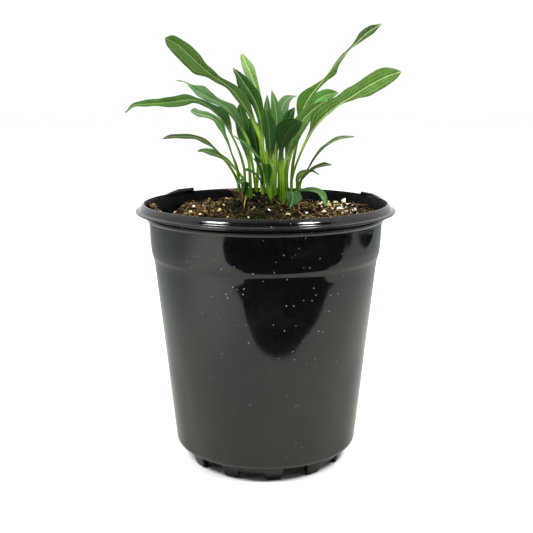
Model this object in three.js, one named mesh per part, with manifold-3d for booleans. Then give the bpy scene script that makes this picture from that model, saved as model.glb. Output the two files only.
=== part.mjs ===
// A young coneflower clump in a black nursery pot, in millimetres with +Z up.
// The origin is on the floor under the pot's axis; -Y is the side that faces the viewer.

import * as THREE from 'three';
import { mergeVertices } from 'three/addons/utils/BufferGeometryUtils.js';
import Module from 'manifold-3d';

const manifold = await Module();
manifold.setup();

// Driving dimensions of the pot
const potHeight = 167.5;
const flangeRadius = 82.5;
const mouthRadius = 76.9;
const wall = 1.3;
const floorThickness = 1.8;
const footHeight = 9;
const baseLineRadius = 54.1;
const cornerHeight = 4.5;
const cornerRadius = 59.4;
const taperTop = { radius: 70.95, z: potHeight - 40.5 };
const stepLow = { radius: 71.75, z: potHeight - 35.1 };
const stepHigh = { radius: 72.7, z: potHeight - 31.5 };
const shoulderTop = { radius: 73.5, z: potHeight - 26 };
const bodyTop = { radius: 75, z: potHeight - 10.5 };
const ledge = { radius: 76.2, low: potHeight - 9.3, high: potHeight - 8 };
const flange = { low: potHeight - 5.4, high: potHeight - 4.4, coneRadius: 80 };
const potSides = 56;

// Driving dimensions of the feet, drains and grip tabs
const footCount = 12;
const footWidth = 12.5;
const footDepth = 3.4;
const footLean = 2.6;
const footPhase = THREE.MathUtils.degToRad(5.5);
const skirtHeight = 4.6;
const drain = { inner: 41, outer: 50, width: 10.5 };
const skirtInset = 0.5;
const tabSpan = 19.5;
const tabs = [
  { steepEnd: 41.5, runs: 1, height: 2.4 },
  { steepEnd: -58.5, runs: -1, height: 1.7 },
];

// Driving dimensions of the potting mix and the crown
const clearance = 0.3;
const soilEdge = 159.5;
const soilMound = 9.5;
const moundRadius = 33;
const soilSides = 48;
const chipCount = 20;
const chipSeed = 11;
const crown = { x: 1, y: 2, a: 24, b: 23, top: 169.8, sag: 2.2, low: 150, core: 0.36 };
const crownSides = 24;
const seatZ = 165.3;
const rootCount = 6;
const rootLength = 48;
const rootRadius = 2;

// Driving dimensions that all leaves share
const edgeThickness = 0.7;
const ribHeight = 0.35;
const stalkDepth = 1.1;
const leafStations = 20;
const pegLength = 5;
const holeMargin = 0.5;

const green = '#4f8f3c';
const deepGreen = '#2f6338';
const brightGreen = '#74ad3f';

// One row for each leaf. base is where its stalk leaves the crown, stalk is the stalk's half
// width, and path is the line that the midrib follows from there. Each stop of blade is a share
// of the length and the half width on either side of the midrib; the blade starts at the first.
// roll turns the blade about its midrib at the base and at the tip, in degrees, wave lifts its
// edges and fold raises them as a keel does.
const leaves = [
  {
    name: 'leaf_upper_left', base: [4, -3], stalk: 1.6,
    path: [
      [2.2, -2, 182.7], [-1.6, 2, 200.7], [-4.8, 5, 210.6], [-8.7, 8, 219.2], [-12.5, 11, 226],
      [-17, 14, 232.2], [-21.6, 17, 237.6], [-26.2, 20, 241.2], [-33.4, 23, 245.8],
      [-40, 26, 250.9], [-46, 29, 256], [-51.9, 31, 261.5], [-58.5, 33, 266.9], [-65.7, 34, 270.5],
    ],
    blade: [
      [0.38, 1.44, 1.44], [0.44, 1.3, 2.6], [0.49, 2.2, 4.4], [0.55, 2.4, 4.8], [0.61, 1.9, 3],
      [0.66, 2.6, 2.2], [0.72, 3.4, 3], [0.77, 7.1, 3.3], [0.83, 7.1, 5], [0.89, 6.8, 5],
      [0.94, 6, 4.3], [0.98, 4, 3.3], [1, 0.3, 0.3],
    ],
    roll: [-50, -62], wave: 0.4, fold: 0.18, colour: green,
  },
  {
    name: 'leaf_long_left', base: [-12.5, 5], stalk: 1.5,
    path: [
      [-13.5, 3, 188.6], [-17.5, 1, 202], [-20.5, -1, 208.4], [-23.5, -2, 214], [-27.2, -4, 219.7],
      [-30.8, -5.5, 223.7], [-35.6, -7, 227.7], [-40.3, -9, 230.5], [-45.1, -10, 231.6],
      [-50, -11, 231.3], [-58.4, -13, 230.1], [-70.5, -14, 229.2], [-80.7, -15, 228],
      [-85.7, -15, 224],
    ],
    blade: [
      [0.38, 1.35, 1.35], [0.44, 1.6, 6.5], [0.5, 2.2, 6.1], [0.57, 2.7, 3.2], [0.63, 2.5, 2.3],
      [0.69, 3.6, 3.8], [0.75, 4.3, 3.1], [0.81, 2.8, 2.7], [0.88, 2.4, 2.7], [0.94, 1.4, 1.8],
      [0.978, 0.9, 0.5], [1, 0.3, 0.3],
    ],
    roll: [-35, -60], wave: 0.7, fold: 0.18, colour: green,
  },
  {
    name: 'leaf_thin_left', base: [-5, 1.5], stalk: 1.3,
    path: [
      [-8, 3, 190.5], [-11.2, 6, 205.5], [-15.1, 8, 212.3], [-18.9, 9, 219.2], [-23.3, 10, 224.8],
      [-28.5, 12, 228.7], [-33.6, 13, 231.4], [-38.7, 13, 234.1], [-43.8, 14, 237],
      [-47.6, 14, 239.5], [-51.5, 15, 242.3], [-56.9, 15, 243.4],
    ],
    blade: [
      [0.44, 1.17, 1.17], [0.5, 1.8, 2.3], [0.55, 2.3, 3.7], [0.61, 2.5, 5], [0.66, 2.2, 3.5],
      [0.72, 2.6, 2.3], [0.78, 3.4, 3.7], [0.83, 3.8, 4.7], [0.89, 1.7, 1.9], [0.94, 0.4, 0.4],
      [0.98, 0.5, 0.5], [1, 0.3, 0.3],
    ],
    roll: [-45, -55], wave: 0.6, fold: 0.18, colour: green,
  },
  {
    name: 'leaf_curled_left', base: [-16.5, 0], stalk: 1.3,
    path: [
      [-17.4, -3, 186.6], [-21, -7, 198.8], [-24.5, -10, 208.3], [-27.4, -13, 215.2],
      [-30.9, -15, 219.8], [-35, -17, 222.1], [-40.3, -19, 223.5], [-45.3, -20, 225.2],
    ],
    blade: [
      [0.5, 1.17, 1.17], [0.56, 1.8, 1.9], [0.62, 2.1, 2], [0.69, 2.4, 3.1], [0.75, 2.7, 2.8],
      [0.81, 2.2, 2.1], [0.88, 2.1, 2.3], [0.94, 2.8, 2.6], [0.978, 1.6, 2.8], [1, 0.3, 0.3],
    ],
    roll: [-50, -70], wave: 0.6, fold: 0.18, colour: green,
  },
  {
    name: 'leaf_low_left', base: [-14, -5], stalk: 1.3,
    path: [
      [-17.3, -9, 181.5], [-20.9, -12, 189.3], [-25, -15, 195.1], [-29.1, -18, 200.3],
      [-33.8, -20, 204.8], [-38.5, -22, 207.9], [-43.2, -24, 209.6], [-49.6, -26, 210.1],
      [-56.1, -27, 210], [-61.4, -28, 209.1],
    ],
    blade: [
      [0.5, 1.17, 1.17], [0.56, 2.8, 1.8], [0.62, 2.8, 2.3], [0.69, 2.8, 2.1], [0.75, 2.1, 1.7],
      [0.81, 2.3, 1.8], [0.88, 2.3, 1.9], [0.94, 1.8, 1.8], [0.978, 0.8, 1], [1, 0.3, 0.3],
    ],
    roll: [-25, -45], wave: 0.4, fold: 0.18, colour: green,
  },
  {
    name: 'leaf_behind_low_left', base: [-11, 13], stalk: 1.2,
    path: [
      [-14.8, 15, 180.9], [-20.7, 18, 187.8], [-26, 20.5, 192.2], [-32, 23, 195.3],
      [-38, 25, 197.2], [-45.1, 27, 197.4],
    ],
    blade: [
      [0.5, 1.08, 1.08], [0.56, 1.5, 1.4], [0.62, 1.2, 1.8], [0.69, 1.4, 2], [0.75, 2.1, 2.4],
      [0.81, 2.7, 2.5], [0.88, 2, 2.6], [0.94, 0.7, 2.4], [0.978, 0.5, 1.8], [1, 0.3, 0.3],
    ],
    roll: [-35, -45], wave: 0.4, fold: 0.18, colour: green,
  },
  {
    name: 'leaf_centre_bright', base: [-2.5, 13], stalk: 1.3,
    path: [
      [-2.3, 14, 189.5], [-3.6, 17, 208.6], [-4.6, 21, 227.7], [-5.9, 24, 237.2],
      [-7.9, 26, 243.6], [-10.8, 28, 250], [-13.4, 30, 255.7], [-15.6, 32, 260.7],
    ],
    blade: [
      [0.52, 1.17, 1.17], [0.58, 1.6, 1.3], [0.64, 1.9, 1.6], [0.7, 2.9, 2.1], [0.76, 3.6, 2.2],
      [0.82, 3.8, 2.9], [0.88, 3.6, 3.8], [0.94, 2.7, 2.6], [0.979, 1.8, 1.2], [1, 0.3, 0.3],
    ],
    roll: [-20, -40], wave: 0.5, fold: 0.18, colour: brightGreen,
  },
  {
    name: 'leaf_centre_folded', base: [-1, 6], stalk: 1.4,
    path: [
      [-1, 8, 190], [-2.3, 11.5, 208.9], [-3.6, 13.5, 220.3], [-6.2, 15.5, 229.1],
      [-9.7, 17.5, 235.7], [-13.6, 19, 241.3], [-17.4, 20, 246.7], [-20.8, 21, 251],
    ],
    blade: [
      [0.5, 1.26, 1.26], [0.56, 1.7, 1.7], [0.62, 2.2, 2.7], [0.69, 2.9, 4.1], [0.75, 3.8, 4.9],
      [0.81, 4.2, 4.4], [0.88, 4.3, 3.8], [0.94, 2.1, 2.3], [0.978, 1.3, 1], [1, 0.3, 0.3],
    ],
    roll: [-45, -60], wave: 0.9, fold: 0.18, colour: green,
  },
  {
    name: 'leaf_centre_small', base: [2, 18], stalk: 1.3,
    path: [[1, 21, 189], [1, 26, 205], [1, 32, 219], [1, 38, 234]],
    blade: [
      [0.5, 1, 1], [0.58, 1.7, 1.7], [0.67, 2.7, 2.7], [0.75, 3, 3], [0.83, 2.7, 2.7],
      [0.92, 1.7, 1.7], [0.97, 0.8, 0.8], [1, 0.3, 0.3],
    ],
    roll: [0, 0], wave: 0.3, fold: 0.18, colour: green,
  },
  {
    name: 'leaf_centre_point', base: [5.1, 8.3], stalk: 1.7,
    path: [[6.2, 10, 190], [6.6, 12, 206], [7, 15, 221], [4, 18, 237]],
    blade: [
      [0.45, 1.4, 1.4], [0.54, 2.7, 2.7], [0.63, 3.8, 3.8], [0.73, 4, 4], [0.82, 3.4, 3.4],
      [0.91, 2.1, 2.1], [0.97, 0.9, 0.9], [1, 0.3, 0.3],
    ],
    roll: [0, 0], wave: 0.4, fold: 0.18, colour: deepGreen,
  },
  {
    name: 'leaf_centre_round', base: [1.9, 2.4], stalk: 1.8,
    path: [[3, 2, 191], [3, 1, 203], [2, -1, 216], [0, -3, 226]],
    blade: [
      [0.5, 1.4, 1.4], [0.58, 2.4, 2.4], [0.67, 4, 4], [0.75, 4.6, 4.6], [0.83, 4.2, 4.2],
      [0.92, 2.7, 2.7], [0.97, 1.3, 1.3], [1, 0.3, 0.3],
    ],
    roll: [0, 0], wave: 0.4, fold: 0.18, colour: deepGreen,
  },
  {
    name: 'leaf_arched_back', base: [9, 15.5], stalk: 1.2,
    path: [[9, 19, 189], [10, 25, 205], [10, 32, 219], [12, 40, 228], [16, 47, 232], [21, 54, 233]],
    blade: [
      [0.45, 1.1, 1.1], [0.54, 2.8, 2.8], [0.63, 4, 4], [0.73, 4.2, 4.2], [0.82, 3.5, 3.5],
      [0.91, 2.2, 2.2], [0.97, 0.9, 0.9], [1, 0.3, 0.3],
    ],
    roll: [10, 25], wave: 0.4, fold: 0.18, colour: green,
  },
  {
    name: 'leaf_short_back', base: [13, 11.5], stalk: 1.2,
    path: [[13, 14, 189], [15, 18, 205], [15, 23, 219], [19, 27, 226]],
    blade: [
      [0.5, 1.1, 1.1], [0.58, 1.9, 1.9], [0.67, 3.3, 3.3], [0.75, 4.1, 4.1], [0.83, 4, 4],
      [0.92, 2.7, 2.7], [0.97, 1.3, 1.3], [1, 0.3, 0.3],
    ],
    roll: [10, 20], wave: 0.4, fold: 0.18, colour: deepGreen,
  },
  {
    name: 'leaf_upper_right', base: [16, 5.5], stalk: 1.5,
    path: [
      [17, 8, 188.1], [20.2, 12, 205.7], [22.5, 14.5, 217.1], [24.4, 16.5, 225.3],
      [27.4, 18.5, 231.5], [31.6, 20, 236.9], [36.3, 22, 242.6], [42.3, 24.5, 249.9],
      [47.2, 26, 255.6], [52.5, 27.5, 260.9], [57.7, 29, 265.9], [65.9, 31.5, 273.5],
      [75.4, 33, 279.4],
    ],
    blade: [
      [0.38, 1.35, 1.35], [0.43, 3.7, 1.5], [0.48, 6.1, 3.2], [0.52, 4.7, 2.3], [0.57, 2.5, 1.6],
      [0.62, 0.4, 2.6], [0.67, 0.4, 4.4], [0.71, 0.9, 2.5], [0.76, 1.3, 1.2], [0.81, 1.1, 0.4],
      [0.86, 2, 1.5], [0.9, 3.3, 2.5], [0.95, 2.6, 2.6], [0.983, 1, 1], [1, 0.3, 0.3],
    ],
    roll: [40, 62], wave: 0.6, fold: 0.18, colour: green,
  },
  {
    name: 'leaf_behind_right', base: [14, 17], stalk: 1.2,
    path: [
      [14.1, 22, 185.5], [17.5, 28, 198.2], [22.3, 34, 211], [28.4, 40, 223.3], [35.3, 44, 230.8],
      [42.2, 47, 234.2], [49.4, 49, 235.2],
    ],
    blade: [
      [0.5, 1.08, 1.08], [0.56, 1.8, 1.5], [0.62, 1.9, 1.6], [0.69, 2.4, 1.5], [0.75, 3.1, 1.4],
      [0.81, 4, 2.4], [0.88, 4.1, 3.7], [0.94, 2.9, 3.4], [0.978, 1.5, 1.7], [1, 0.3, 0.3],
    ],
    roll: [40, 60], wave: 0.5, fold: 0.18, colour: green,
  },
  {
    name: 'leaf_side_right', base: [10.5, 3], stalk: 1.3,
    path: [
      [11.7, 3, 188.6], [14.9, 5, 199.8], [18.1, 6, 209.2], [21.9, 7.5, 216.1], [27, 9, 222.3],
      [32.7, 10, 227], [38.5, 11, 230.4],
    ],
    blade: [
      [0.4, 1.2, 1.2], [0.5, 3.2, 3.2], [0.6, 4.7, 4.7], [0.7, 5, 5], [0.8, 4.3, 4.3],
      [0.9, 2.7, 2.7], [0.97, 1.1, 1.1], [1, 0.3, 0.3],
    ],
    roll: [45, 62], wave: 0.5, fold: 0.18, colour: green,
  },
  {
    name: 'leaf_big_right', base: [15, -3], stalk: 1.6,
    path: [
      [16.7, -4, 184.2], [20.9, -5, 196.8], [24.6, -5.5, 204.9], [29.5, -6, 213.3],
      [34.9, -7, 219.8], [41, -7, 225.3], [47.1, -8, 229.7], [53.2, -8, 233.5], [58.6, -8, 237.1],
      [65.3, -8, 241], [71.9, -8, 244.5], [77.4, -8, 246.8], [83, -8, 248.3],
    ],
    blade: [
      [0.38, 1.35, 1.35], [0.43, 2.3, 0.9], [0.5, 7, 0.5], [0.57, 6.7, 0.6], [0.64, 5.8, 0.6],
      [0.72, 6.4, 3.6], [0.79, 5.5, 7.2], [0.86, 6.2, 7], [0.93, 5.3, 5.5], [0.975, 2.7, 3],
      [1, 0.3, 0.3],
    ],
    roll: [50, 64], wave: 0.5, fold: 0.18, colour: green,
  },
  {
    name: 'leaf_arc_right', base: [20, -2.5], stalk: 1.2,
    path: [
      [22.3, -5, 182.4], [26.8, -8, 189.9], [30.4, -10, 196], [34.2, -12, 201], [39, -14, 205.2],
      [44.4, -15.5, 208.1], [49.1, -16.5, 209.3], [54, -17, 209.7],
    ],
    blade: [
      [0.4, 1.1, 1.1], [0.5, 1.5, 1.5], [0.6, 2.3, 2.3], [0.7, 2.6, 2.6], [0.8, 2.3, 2.3],
      [0.9, 1.5, 1.5], [0.97, 0.6, 0.6], [1, 0.3, 0.3],
    ],
    roll: [20, 35], wave: 0.3, fold: 0.18, colour: green,
  },
  {
    name: 'leaf_low_right', base: [19, -7.5], stalk: 1.2,
    path: [
      [20.7, -14, 180.8], [23.6, -18, 185], [27.1, -22, 189], [31.1, -26, 191.8],
      [35.1, -29, 193.4], [39.4, -32, 193.8],
    ],
    blade: [
      [0.4, 1.1, 1.1], [0.5, 1.9, 1.9], [0.6, 2.8, 2.8], [0.7, 3, 3], [0.8, 2.6, 2.6],
      [0.9, 1.6, 1.6], [0.97, 0.6, 0.6], [1, 0.3, 0.3],
    ],
    roll: [30, 45], wave: 0.3, fold: 0.18, colour: deepGreen,
  },
  {
    name: 'leaf_low_back_right', base: [20, 9.5], stalk: 1.1,
    path: [
      [21, 12, 181.2], [24.4, 16, 184.2], [28.5, 19, 185], [31.9, 21, 184.5], [35.2, 23, 182.6],
    ],
    blade: [
      [0.35, 1, 1], [0.46, 1.6, 1.6], [0.57, 2.2, 2.2], [0.68, 2.4, 2.4], [0.78, 2, 2],
      [0.89, 1.3, 1.3], [0.97, 0.5, 0.5], [1, 0.3, 0.3],
    ],
    roll: [20, 30], wave: 0.3, fold: 0.18, colour: green,
  },
  {
    name: 'leaf_front_round', base: [10.5, -11.5], stalk: 2,
    path: [
      [9.8, -16, 182.9], [9.8, -18, 193.6], [9.7, -20, 203.4], [10.8, -22, 208.4],
      [13.2, -24.5, 213.3], [16.4, -27, 217.3], [20.4, -29.5, 219.7],
    ],
    blade: [
      [0.5, 1.8, 1.8], [0.56, 1.8, 1.4], [0.62, 2, 1.5], [0.69, 4.5, 4], [0.75, 6.7, 6.5],
      [0.81, 8, 7.2], [0.88, 8.7, 7.3], [0.94, 7.4, 6.7], [0.978, 5.3, 4.3], [1, 0.3, 0.3],
    ],
    roll: [0, -10], wave: 0.6, fold: 0.2, colour: deepGreen,
  },
  {
    name: 'leaf_front_arch', base: [-1, -12.5], stalk: 1.2,
    path: [
      [-2, -15, 179.7], [-4.2, -18, 185], [-7.1, -21, 187.8], [-10.1, -24, 189.5],
      [-13.3, -27, 190.4],
    ],
    blade: [
      [0.4, 1.1, 1.1], [0.52, 1.5, 1.5], [0.65, 1.8, 1.8], [0.8, 1.8, 1.8], [0.92, 1.5, 1.5],
      [0.98, 0.9, 0.9], [1, 0.4, 0.4],
    ],
    roll: [-30, -40], wave: 0.2, fold: 0.18, colour: deepGreen,
  },
  {
    name: 'leaf_front_spoon', base: [4, -14], stalk: 1.2,
    path: [
      [1.9, -16, 176.7], [1.6, -18, 183.1], [1.1, -21, 188.3], [0.7, -24, 192.3],
      [0.4, -26, 194.4],
    ],
    blade: [
      [0.45, 1.1, 1.1], [0.6, 1.5, 1.5], [0.72, 2.5, 2.7], [0.85, 2.9, 3.1], [0.94, 2.4, 2.5],
      [0.985, 1.4, 1.4], [1, 0.6, 0.6],
    ],
    roll: [0, 0], wave: 0.2, fold: 0.18, colour: deepGreen,
  },
  {
    name: 'leaf_front_slip', base: [-5, -7.5], stalk: 1.1,
    path: [
      [-2.1, -9, 180.9], [-2.9, -11, 186.1], [-4.3, -13, 191.3], [-6, -15, 194.7],
      [-7.4, -17, 196.4],
    ],
    blade: [
      [0.4, 1, 1], [0.52, 1.2, 1.2], [0.65, 1.5, 1.5], [0.8, 1.5, 1.5], [0.92, 1.1, 1.1],
      [0.98, 0.6, 0.6], [1, 0.3, 0.3],
    ],
    roll: [-20, -30], wave: 0.2, fold: 0.18, colour: deepGreen,
  },
  {
    name: 'leaf_narrow_dark', base: [-1.5, -4], stalk: 1.1,
    path: [[-1, -7, 191], [-7, -10, 199], [-12, -13, 204], [-19, -16, 210]],
    blade: [
      [0.45, 1, 1], [0.54, 1.8, 1.8], [0.63, 2.5, 2.5], [0.73, 2.7, 2.7], [0.82, 2.3, 2.3],
      [0.91, 1.4, 1.4], [0.97, 0.6, 0.6], [1, 0.3, 0.3],
    ],
    roll: [-30, -40], wave: 0.3, fold: 0.18, colour: deepGreen,
  },
  {
    name: 'leaf_dark_back_left', base: [-7, 18], stalk: 1.2,
    path: [
      [-5, 24, 186.6], [-5.5, 28, 196.8], [-6.7, 31, 205.9], [-8.4, 33.5, 213.7],
      [-10.1, 35, 220.2],
    ],
    blade: [
      [0.42, 1.1, 1.1], [0.55, 2.6, 2.8], [0.66, 4.2, 4.2], [0.77, 4.8, 4.6], [0.87, 4, 3.8],
      [0.95, 2.1, 2], [1, 0.4, 0.4],
    ],
    roll: [0, -15], wave: 0.4, fold: 0.18, colour: deepGreen,
  },
  {
    name: 'leaf_dark_left', base: [-9.5, 8.5], stalk: 1.2,
    path: [
      [-10.4, 12, 187.7], [-11.8, 17, 199], [-13.6, 21.5, 210.3], [-15.5, 25, 219.9],
      [-17.1, 27.5, 228.2],
    ],
    blade: [
      [0.42, 1.1, 1.1], [0.52, 2.4, 2.6], [0.62, 4.3, 4.2], [0.72, 5.2, 4.6], [0.82, 5, 4.4],
      [0.91, 3.6, 3.2], [0.97, 1.8, 1.6], [1, 0.4, 0.4],
    ],
    roll: [-20, -35], wave: 0.4, fold: 0.18, colour: deepGreen,
  },
  {
    name: 'leaf_back_low', base: [6, 20.5], stalk: 1.2,
    path: [[6, 28, 179], [8, 38, 187], [9, 50, 190], [10, 61, 187]],
    blade: [
      [0.4, 1.1, 1.1], [0.5, 2.3, 2.3], [0.6, 3.6, 3.6], [0.7, 4, 4], [0.8, 3.6, 3.6],
      [0.9, 2.3, 2.3], [0.97, 0.9, 0.9], [1, 0.3, 0.3],
    ],
    roll: [0, 0], wave: 0.5, fold: 0.18, colour: green,
  },
  {
    name: 'leaf_stub', base: [-17, -8.5], stalk: 1.6,
    path: [
      [-13.6, -12.5, 176.3], [-12.8, -14.5, 180], [-13.1, -17.5, 182.3], [-15.2, -20.5, 182.3],
      [-17.6, -23, 180.6],
    ],
    blade: [
      [0.3, 1.4, 1.4], [0.42, 1.7, 1.7], [0.55, 2.4, 2.6], [0.7, 2.5, 2.7], [0.83, 1.9, 2],
      [0.94, 0.9, 0.9], [1, 0.3, 0.3],
    ],
    roll: [-10, -25], wave: 0.2, fold: 0.18, colour: deepGreen,
  },
  {
    name: 'leaf_over_soil', base: [15, -12], stalk: 1.2,
    path: [
      [18.9, -15, 175.2], [24.3, -18, 176.6], [29.6, -22, 177.1], [33.4, -26.5, 175.6],
      [35.3, -30, 172.3], [36, -32, 168.5],
    ],
    blade: [
      [0.2, 1.2, 1.2], [0.33, 2.6, 2.4], [0.48, 3.6, 3.2], [0.62, 4.1, 3.6], [0.75, 3.8, 3.6],
      [0.86, 2.7, 2.7], [0.95, 1.2, 1.2], [1, 0.3, 0.3],
    ],
    roll: [25, 0], wave: 0.4, fold: 0.18, colour: green,
  },
  {
    name: 'leaf_lobed', base: [9.5, -16.5], stalk: 0.9,
    path: [
      [15.3, -20, 174.7], [16.5, -23, 176.2], [16.7, -26, 173.6], [15.8, -28.5, 170.3],
      [14.5, -30, 167.3],
    ],
    blade: [
      [0.22, 0.9, 0.9], [0.36, 1.6, 1.7], [0.5, 1.9, 4], [0.6, 4.6, 4.6], [0.7, 6.2, 5.2],
      [0.8, 4.4, 4.4], [0.9, 1.9, 2.6], [0.97, 0.9, 1], [1, 0.3, 0.3],
    ],
    roll: [0, 0], wave: 0.5, fold: 0.18, colour: deepGreen,
  },
  {
    name: 'leaf_young_shoot', base: [-7.5, -13], stalk: 0.9,
    path: [[-8, -14, 171.3], [-7.8, -15.2, 173], [-7, -17, 173.8]],
    blade: [[0.35, 0.8, 0.8], [0.55, 1.3, 1.3], [0.75, 1.3, 1.3], [0.9, 0.8, 0.8], [1, 0.3, 0.3]],
    roll: [-10, -20], wave: 0.1, fold: 0.18, colour: green,
  },
  {
    name: 'dry_leaf_base', base: [-12.5, -12.5], stalk: 1.3,
    path: [[-16, -14.5, 172], [-18.5, -16, 175], [-21, -16.5, 176.5], [-23.5, -16, 177]],
    blade: [
      [0.2, 1.2, 1.2], [0.33, 1.8, 1.8], [0.47, 2.5, 2.5], [0.6, 2.6, 2.6], [0.73, 2.1, 2.1],
      [0.87, 1.3, 1.3], [0.97, 0.4, 0.4], [1, 0.3, 0.3],
    ],
    roll: [20, 60], wave: 0.7, fold: 0.18, colour: '#7a5a40',
  },
];

const group = new THREE.Group();

// Basic helpers

function addNode(name, geometry, colour, roughness) {
  const material = new THREE.MeshStandardMaterial({ color: colour, roughness, metalness: 0 });
  const mesh = new THREE.Mesh(geometry, material);
  mesh.name = name;
  group.add(mesh);
}

function seededRandom(seed) {
  let state = seed;
  return () => {
    state = (state * 16807) % 2147483647;
    return state / 2147483647;
  };
}

function solidOf(geometry) {
  const bare = new THREE.BufferGeometry();
  bare.setAttribute('position', geometry.getAttribute('position').clone());
  if (geometry.index) {
    bare.setIndex(geometry.index.clone());
  }
  const merged = mergeVertices(bare, 1e-4);
  return new manifold.Manifold(new manifold.Mesh({
    numProp: 3,
    vertProperties: Float32Array.from(merged.getAttribute('position').array),
    triVerts: Uint32Array.from(merged.index.array),
  }));
}

function geometryOf(solid) {
  const mesh = solid.getMesh();
  const geometry = new THREE.BufferGeometry();
  geometry.setAttribute('position', new THREE.BufferAttribute(mesh.vertProperties, 3));
  geometry.setIndex(new THREE.BufferAttribute(mesh.triVerts, 1));
  return geometry;
}

// A lathe whose axis is Z: the library turns profiles about Y, so the result is laid over.
function lathe(profile, sides) {
  const points = profile.map(([radius, z]) => new THREE.Vector2(radius, z));
  return new THREE.LatheGeometry(points, sides).rotateX(Math.PI / 2);
}

// A closed sheet between two grids of points, rows along it and columns across it. Both faces
// are split along the same diagonals, so a waved sheet keeps its thickness everywhere.
function sheetSolid(top, bottom) {
  const rows = top.length;
  const columns = top[0].length;
  const positions = [...top, ...bottom].flat().flatMap((point) => point.toArray());
  const upper = (row, column) => row * columns + column;
  const lower = (row, column) => (rows + row) * columns + column;
  const triangles = [];
  const quad = (a, b, c, d) => triangles.push(a, b, c, a, c, d);
  for (let row = 0; row + 1 < rows; row += 1) {
    for (let column = 0; column + 1 < columns; column += 1) {
      quad(upper(row, column), upper(row, column + 1), upper(row + 1, column + 1), upper(row + 1, column));
      triangles.push(lower(row, column), lower(row + 1, column + 1), lower(row, column + 1));
      triangles.push(lower(row, column), lower(row + 1, column), lower(row + 1, column + 1));
    }
    quad(lower(row, 0), upper(row, 0), upper(row + 1, 0), lower(row + 1, 0));
    const last = columns - 1;
    quad(upper(row, last), lower(row, last), lower(row + 1, last), upper(row + 1, last));
  }
  for (let column = 0; column + 1 < columns; column += 1) {
    quad(upper(0, column), lower(0, column), lower(0, column + 1), upper(0, column + 1));
    const end = rows - 1;
    quad(lower(end, column), upper(end, column), upper(end, column + 1), lower(end, column + 1));
  }
  const geometry = new THREE.BufferGeometry();
  geometry.setAttribute('position', new THREE.Float32BufferAttribute(positions, 3));
  geometry.setIndex(triangles);
  return geometry;
}

// Pot

function potProfile() {
  const outside = [[0, footHeight]];
  const cornerSteps = 4;
  for (let step = 0; step <= cornerSteps; step += 1) {
    const turn = (step / cornerSteps) * (Math.PI / 2);
    outside.push([
      baseLineRadius + (cornerRadius - baseLineRadius) * Math.sin(turn),
      footHeight + cornerHeight * (1 - Math.cos(turn)),
    ]);
  }
  outside.push([taperTop.radius, taperTop.z], [stepLow.radius, stepLow.z]);
  outside.push([stepHigh.radius, stepHigh.z], [shoulderTop.radius, shoulderTop.z]);
  outside.push([bodyTop.radius, bodyTop.z]);
  outside.push([ledge.radius, ledge.low], [ledge.radius, ledge.high]);
  outside.push([bodyTop.radius + 0.6, ledge.high + 0.3], [bodyTop.radius + 1, flange.low]);
  outside.push([flangeRadius, flange.low], [flangeRadius, flange.high]);
  outside.push([flange.coneRadius, flange.high + 0.7], [mouthRadius + 0.6, potHeight]);
  const inside = [
    [mouthRadius, potHeight],
    [mouthRadius - 0.8, potHeight - 1.2],
    ...innerWall().map(([radius, z]) => [radius, z]),
    [0, footHeight + floorThickness],
  ];
  return [...outside, ...inside];
}

// The inside of the wall from the mouth down to the floor, as radius and height.
function innerWall() {
  return [
    [bodyTop.radius - wall + 0.4, bodyTop.z + 1.3],
    [shoulderTop.radius - wall, shoulderTop.z],
    [taperTop.radius - wall, taperTop.z],
    [cornerRadius - wall, footHeight + cornerHeight + 1],
    [baseLineRadius - wall, footHeight + floorThickness],
  ];
}

function innerRadius(z) {
  const stops = innerWall();
  for (let index = 0; index + 1 < stops.length; index += 1) {
    const [upperRadius, upperZ] = stops[index];
    const [lowerRadius, lowerZ] = stops[index + 1];
    if (z >= lowerZ) {
      return THREE.MathUtils.mapLinear(z, lowerZ, upperZ, lowerRadius, upperRadius);
    }
  }
  return stops.at(-1)[0];
}

// A stretch of the foot ring, bent round the pot: its outer face leans in towards the floor as
// the wall does, and its lower edge is a function of the share of its half width.
function curtainSolid(angle, half, steps, inset, lowerEdge) {
  const rise = footHeight + floorThickness / 2;
  const outer = [];
  const inner = [];
  for (let step = 0; step <= steps; step += 1) {
    const share = (2 * step) / steps - 1;
    const turn = angle + (share * half) / baseLineRadius;
    const column = (depth) => [lowerEdge(Math.abs(share)), rise].map((z) => {
      const radius = baseLineRadius - footLean * (1 - z / footHeight) - depth;
      return new THREE.Vector3(radius * Math.sin(turn), -radius * Math.cos(turn), z);
    });
    outer.push(column(inset).reverse());
    inner.push(column(footDepth - inset).reverse());
  }
  return solidOf(sheetSolid(outer, inner));
}

// A foot is a rounded tab, flat underneath; a skirt closes every other gap part of the way down.
function footSolid(angle) {
  const lowerEdge = (share) => footHeight * Math.max(0, 2 * share - 1) ** 3;
  return curtainSolid(angle, footWidth / 2, 8, 0, lowerEdge);
}

function skirtSolid(angle) {
  const half = (Math.PI * baseLineRadius) / footCount;
  return curtainSolid(angle, half, 4, skirtInset, () => footHeight - skirtHeight);
}

function drainSolid(angle) {
  const length = drain.outer - drain.inner;
  const box = new THREE.BoxGeometry(drain.width, length, 4 * floorThickness);
  box.translate(0, -(drain.inner + length / 2), footHeight + floorThickness / 2);
  return solidOf(box.rotateZ(angle));
}

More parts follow.
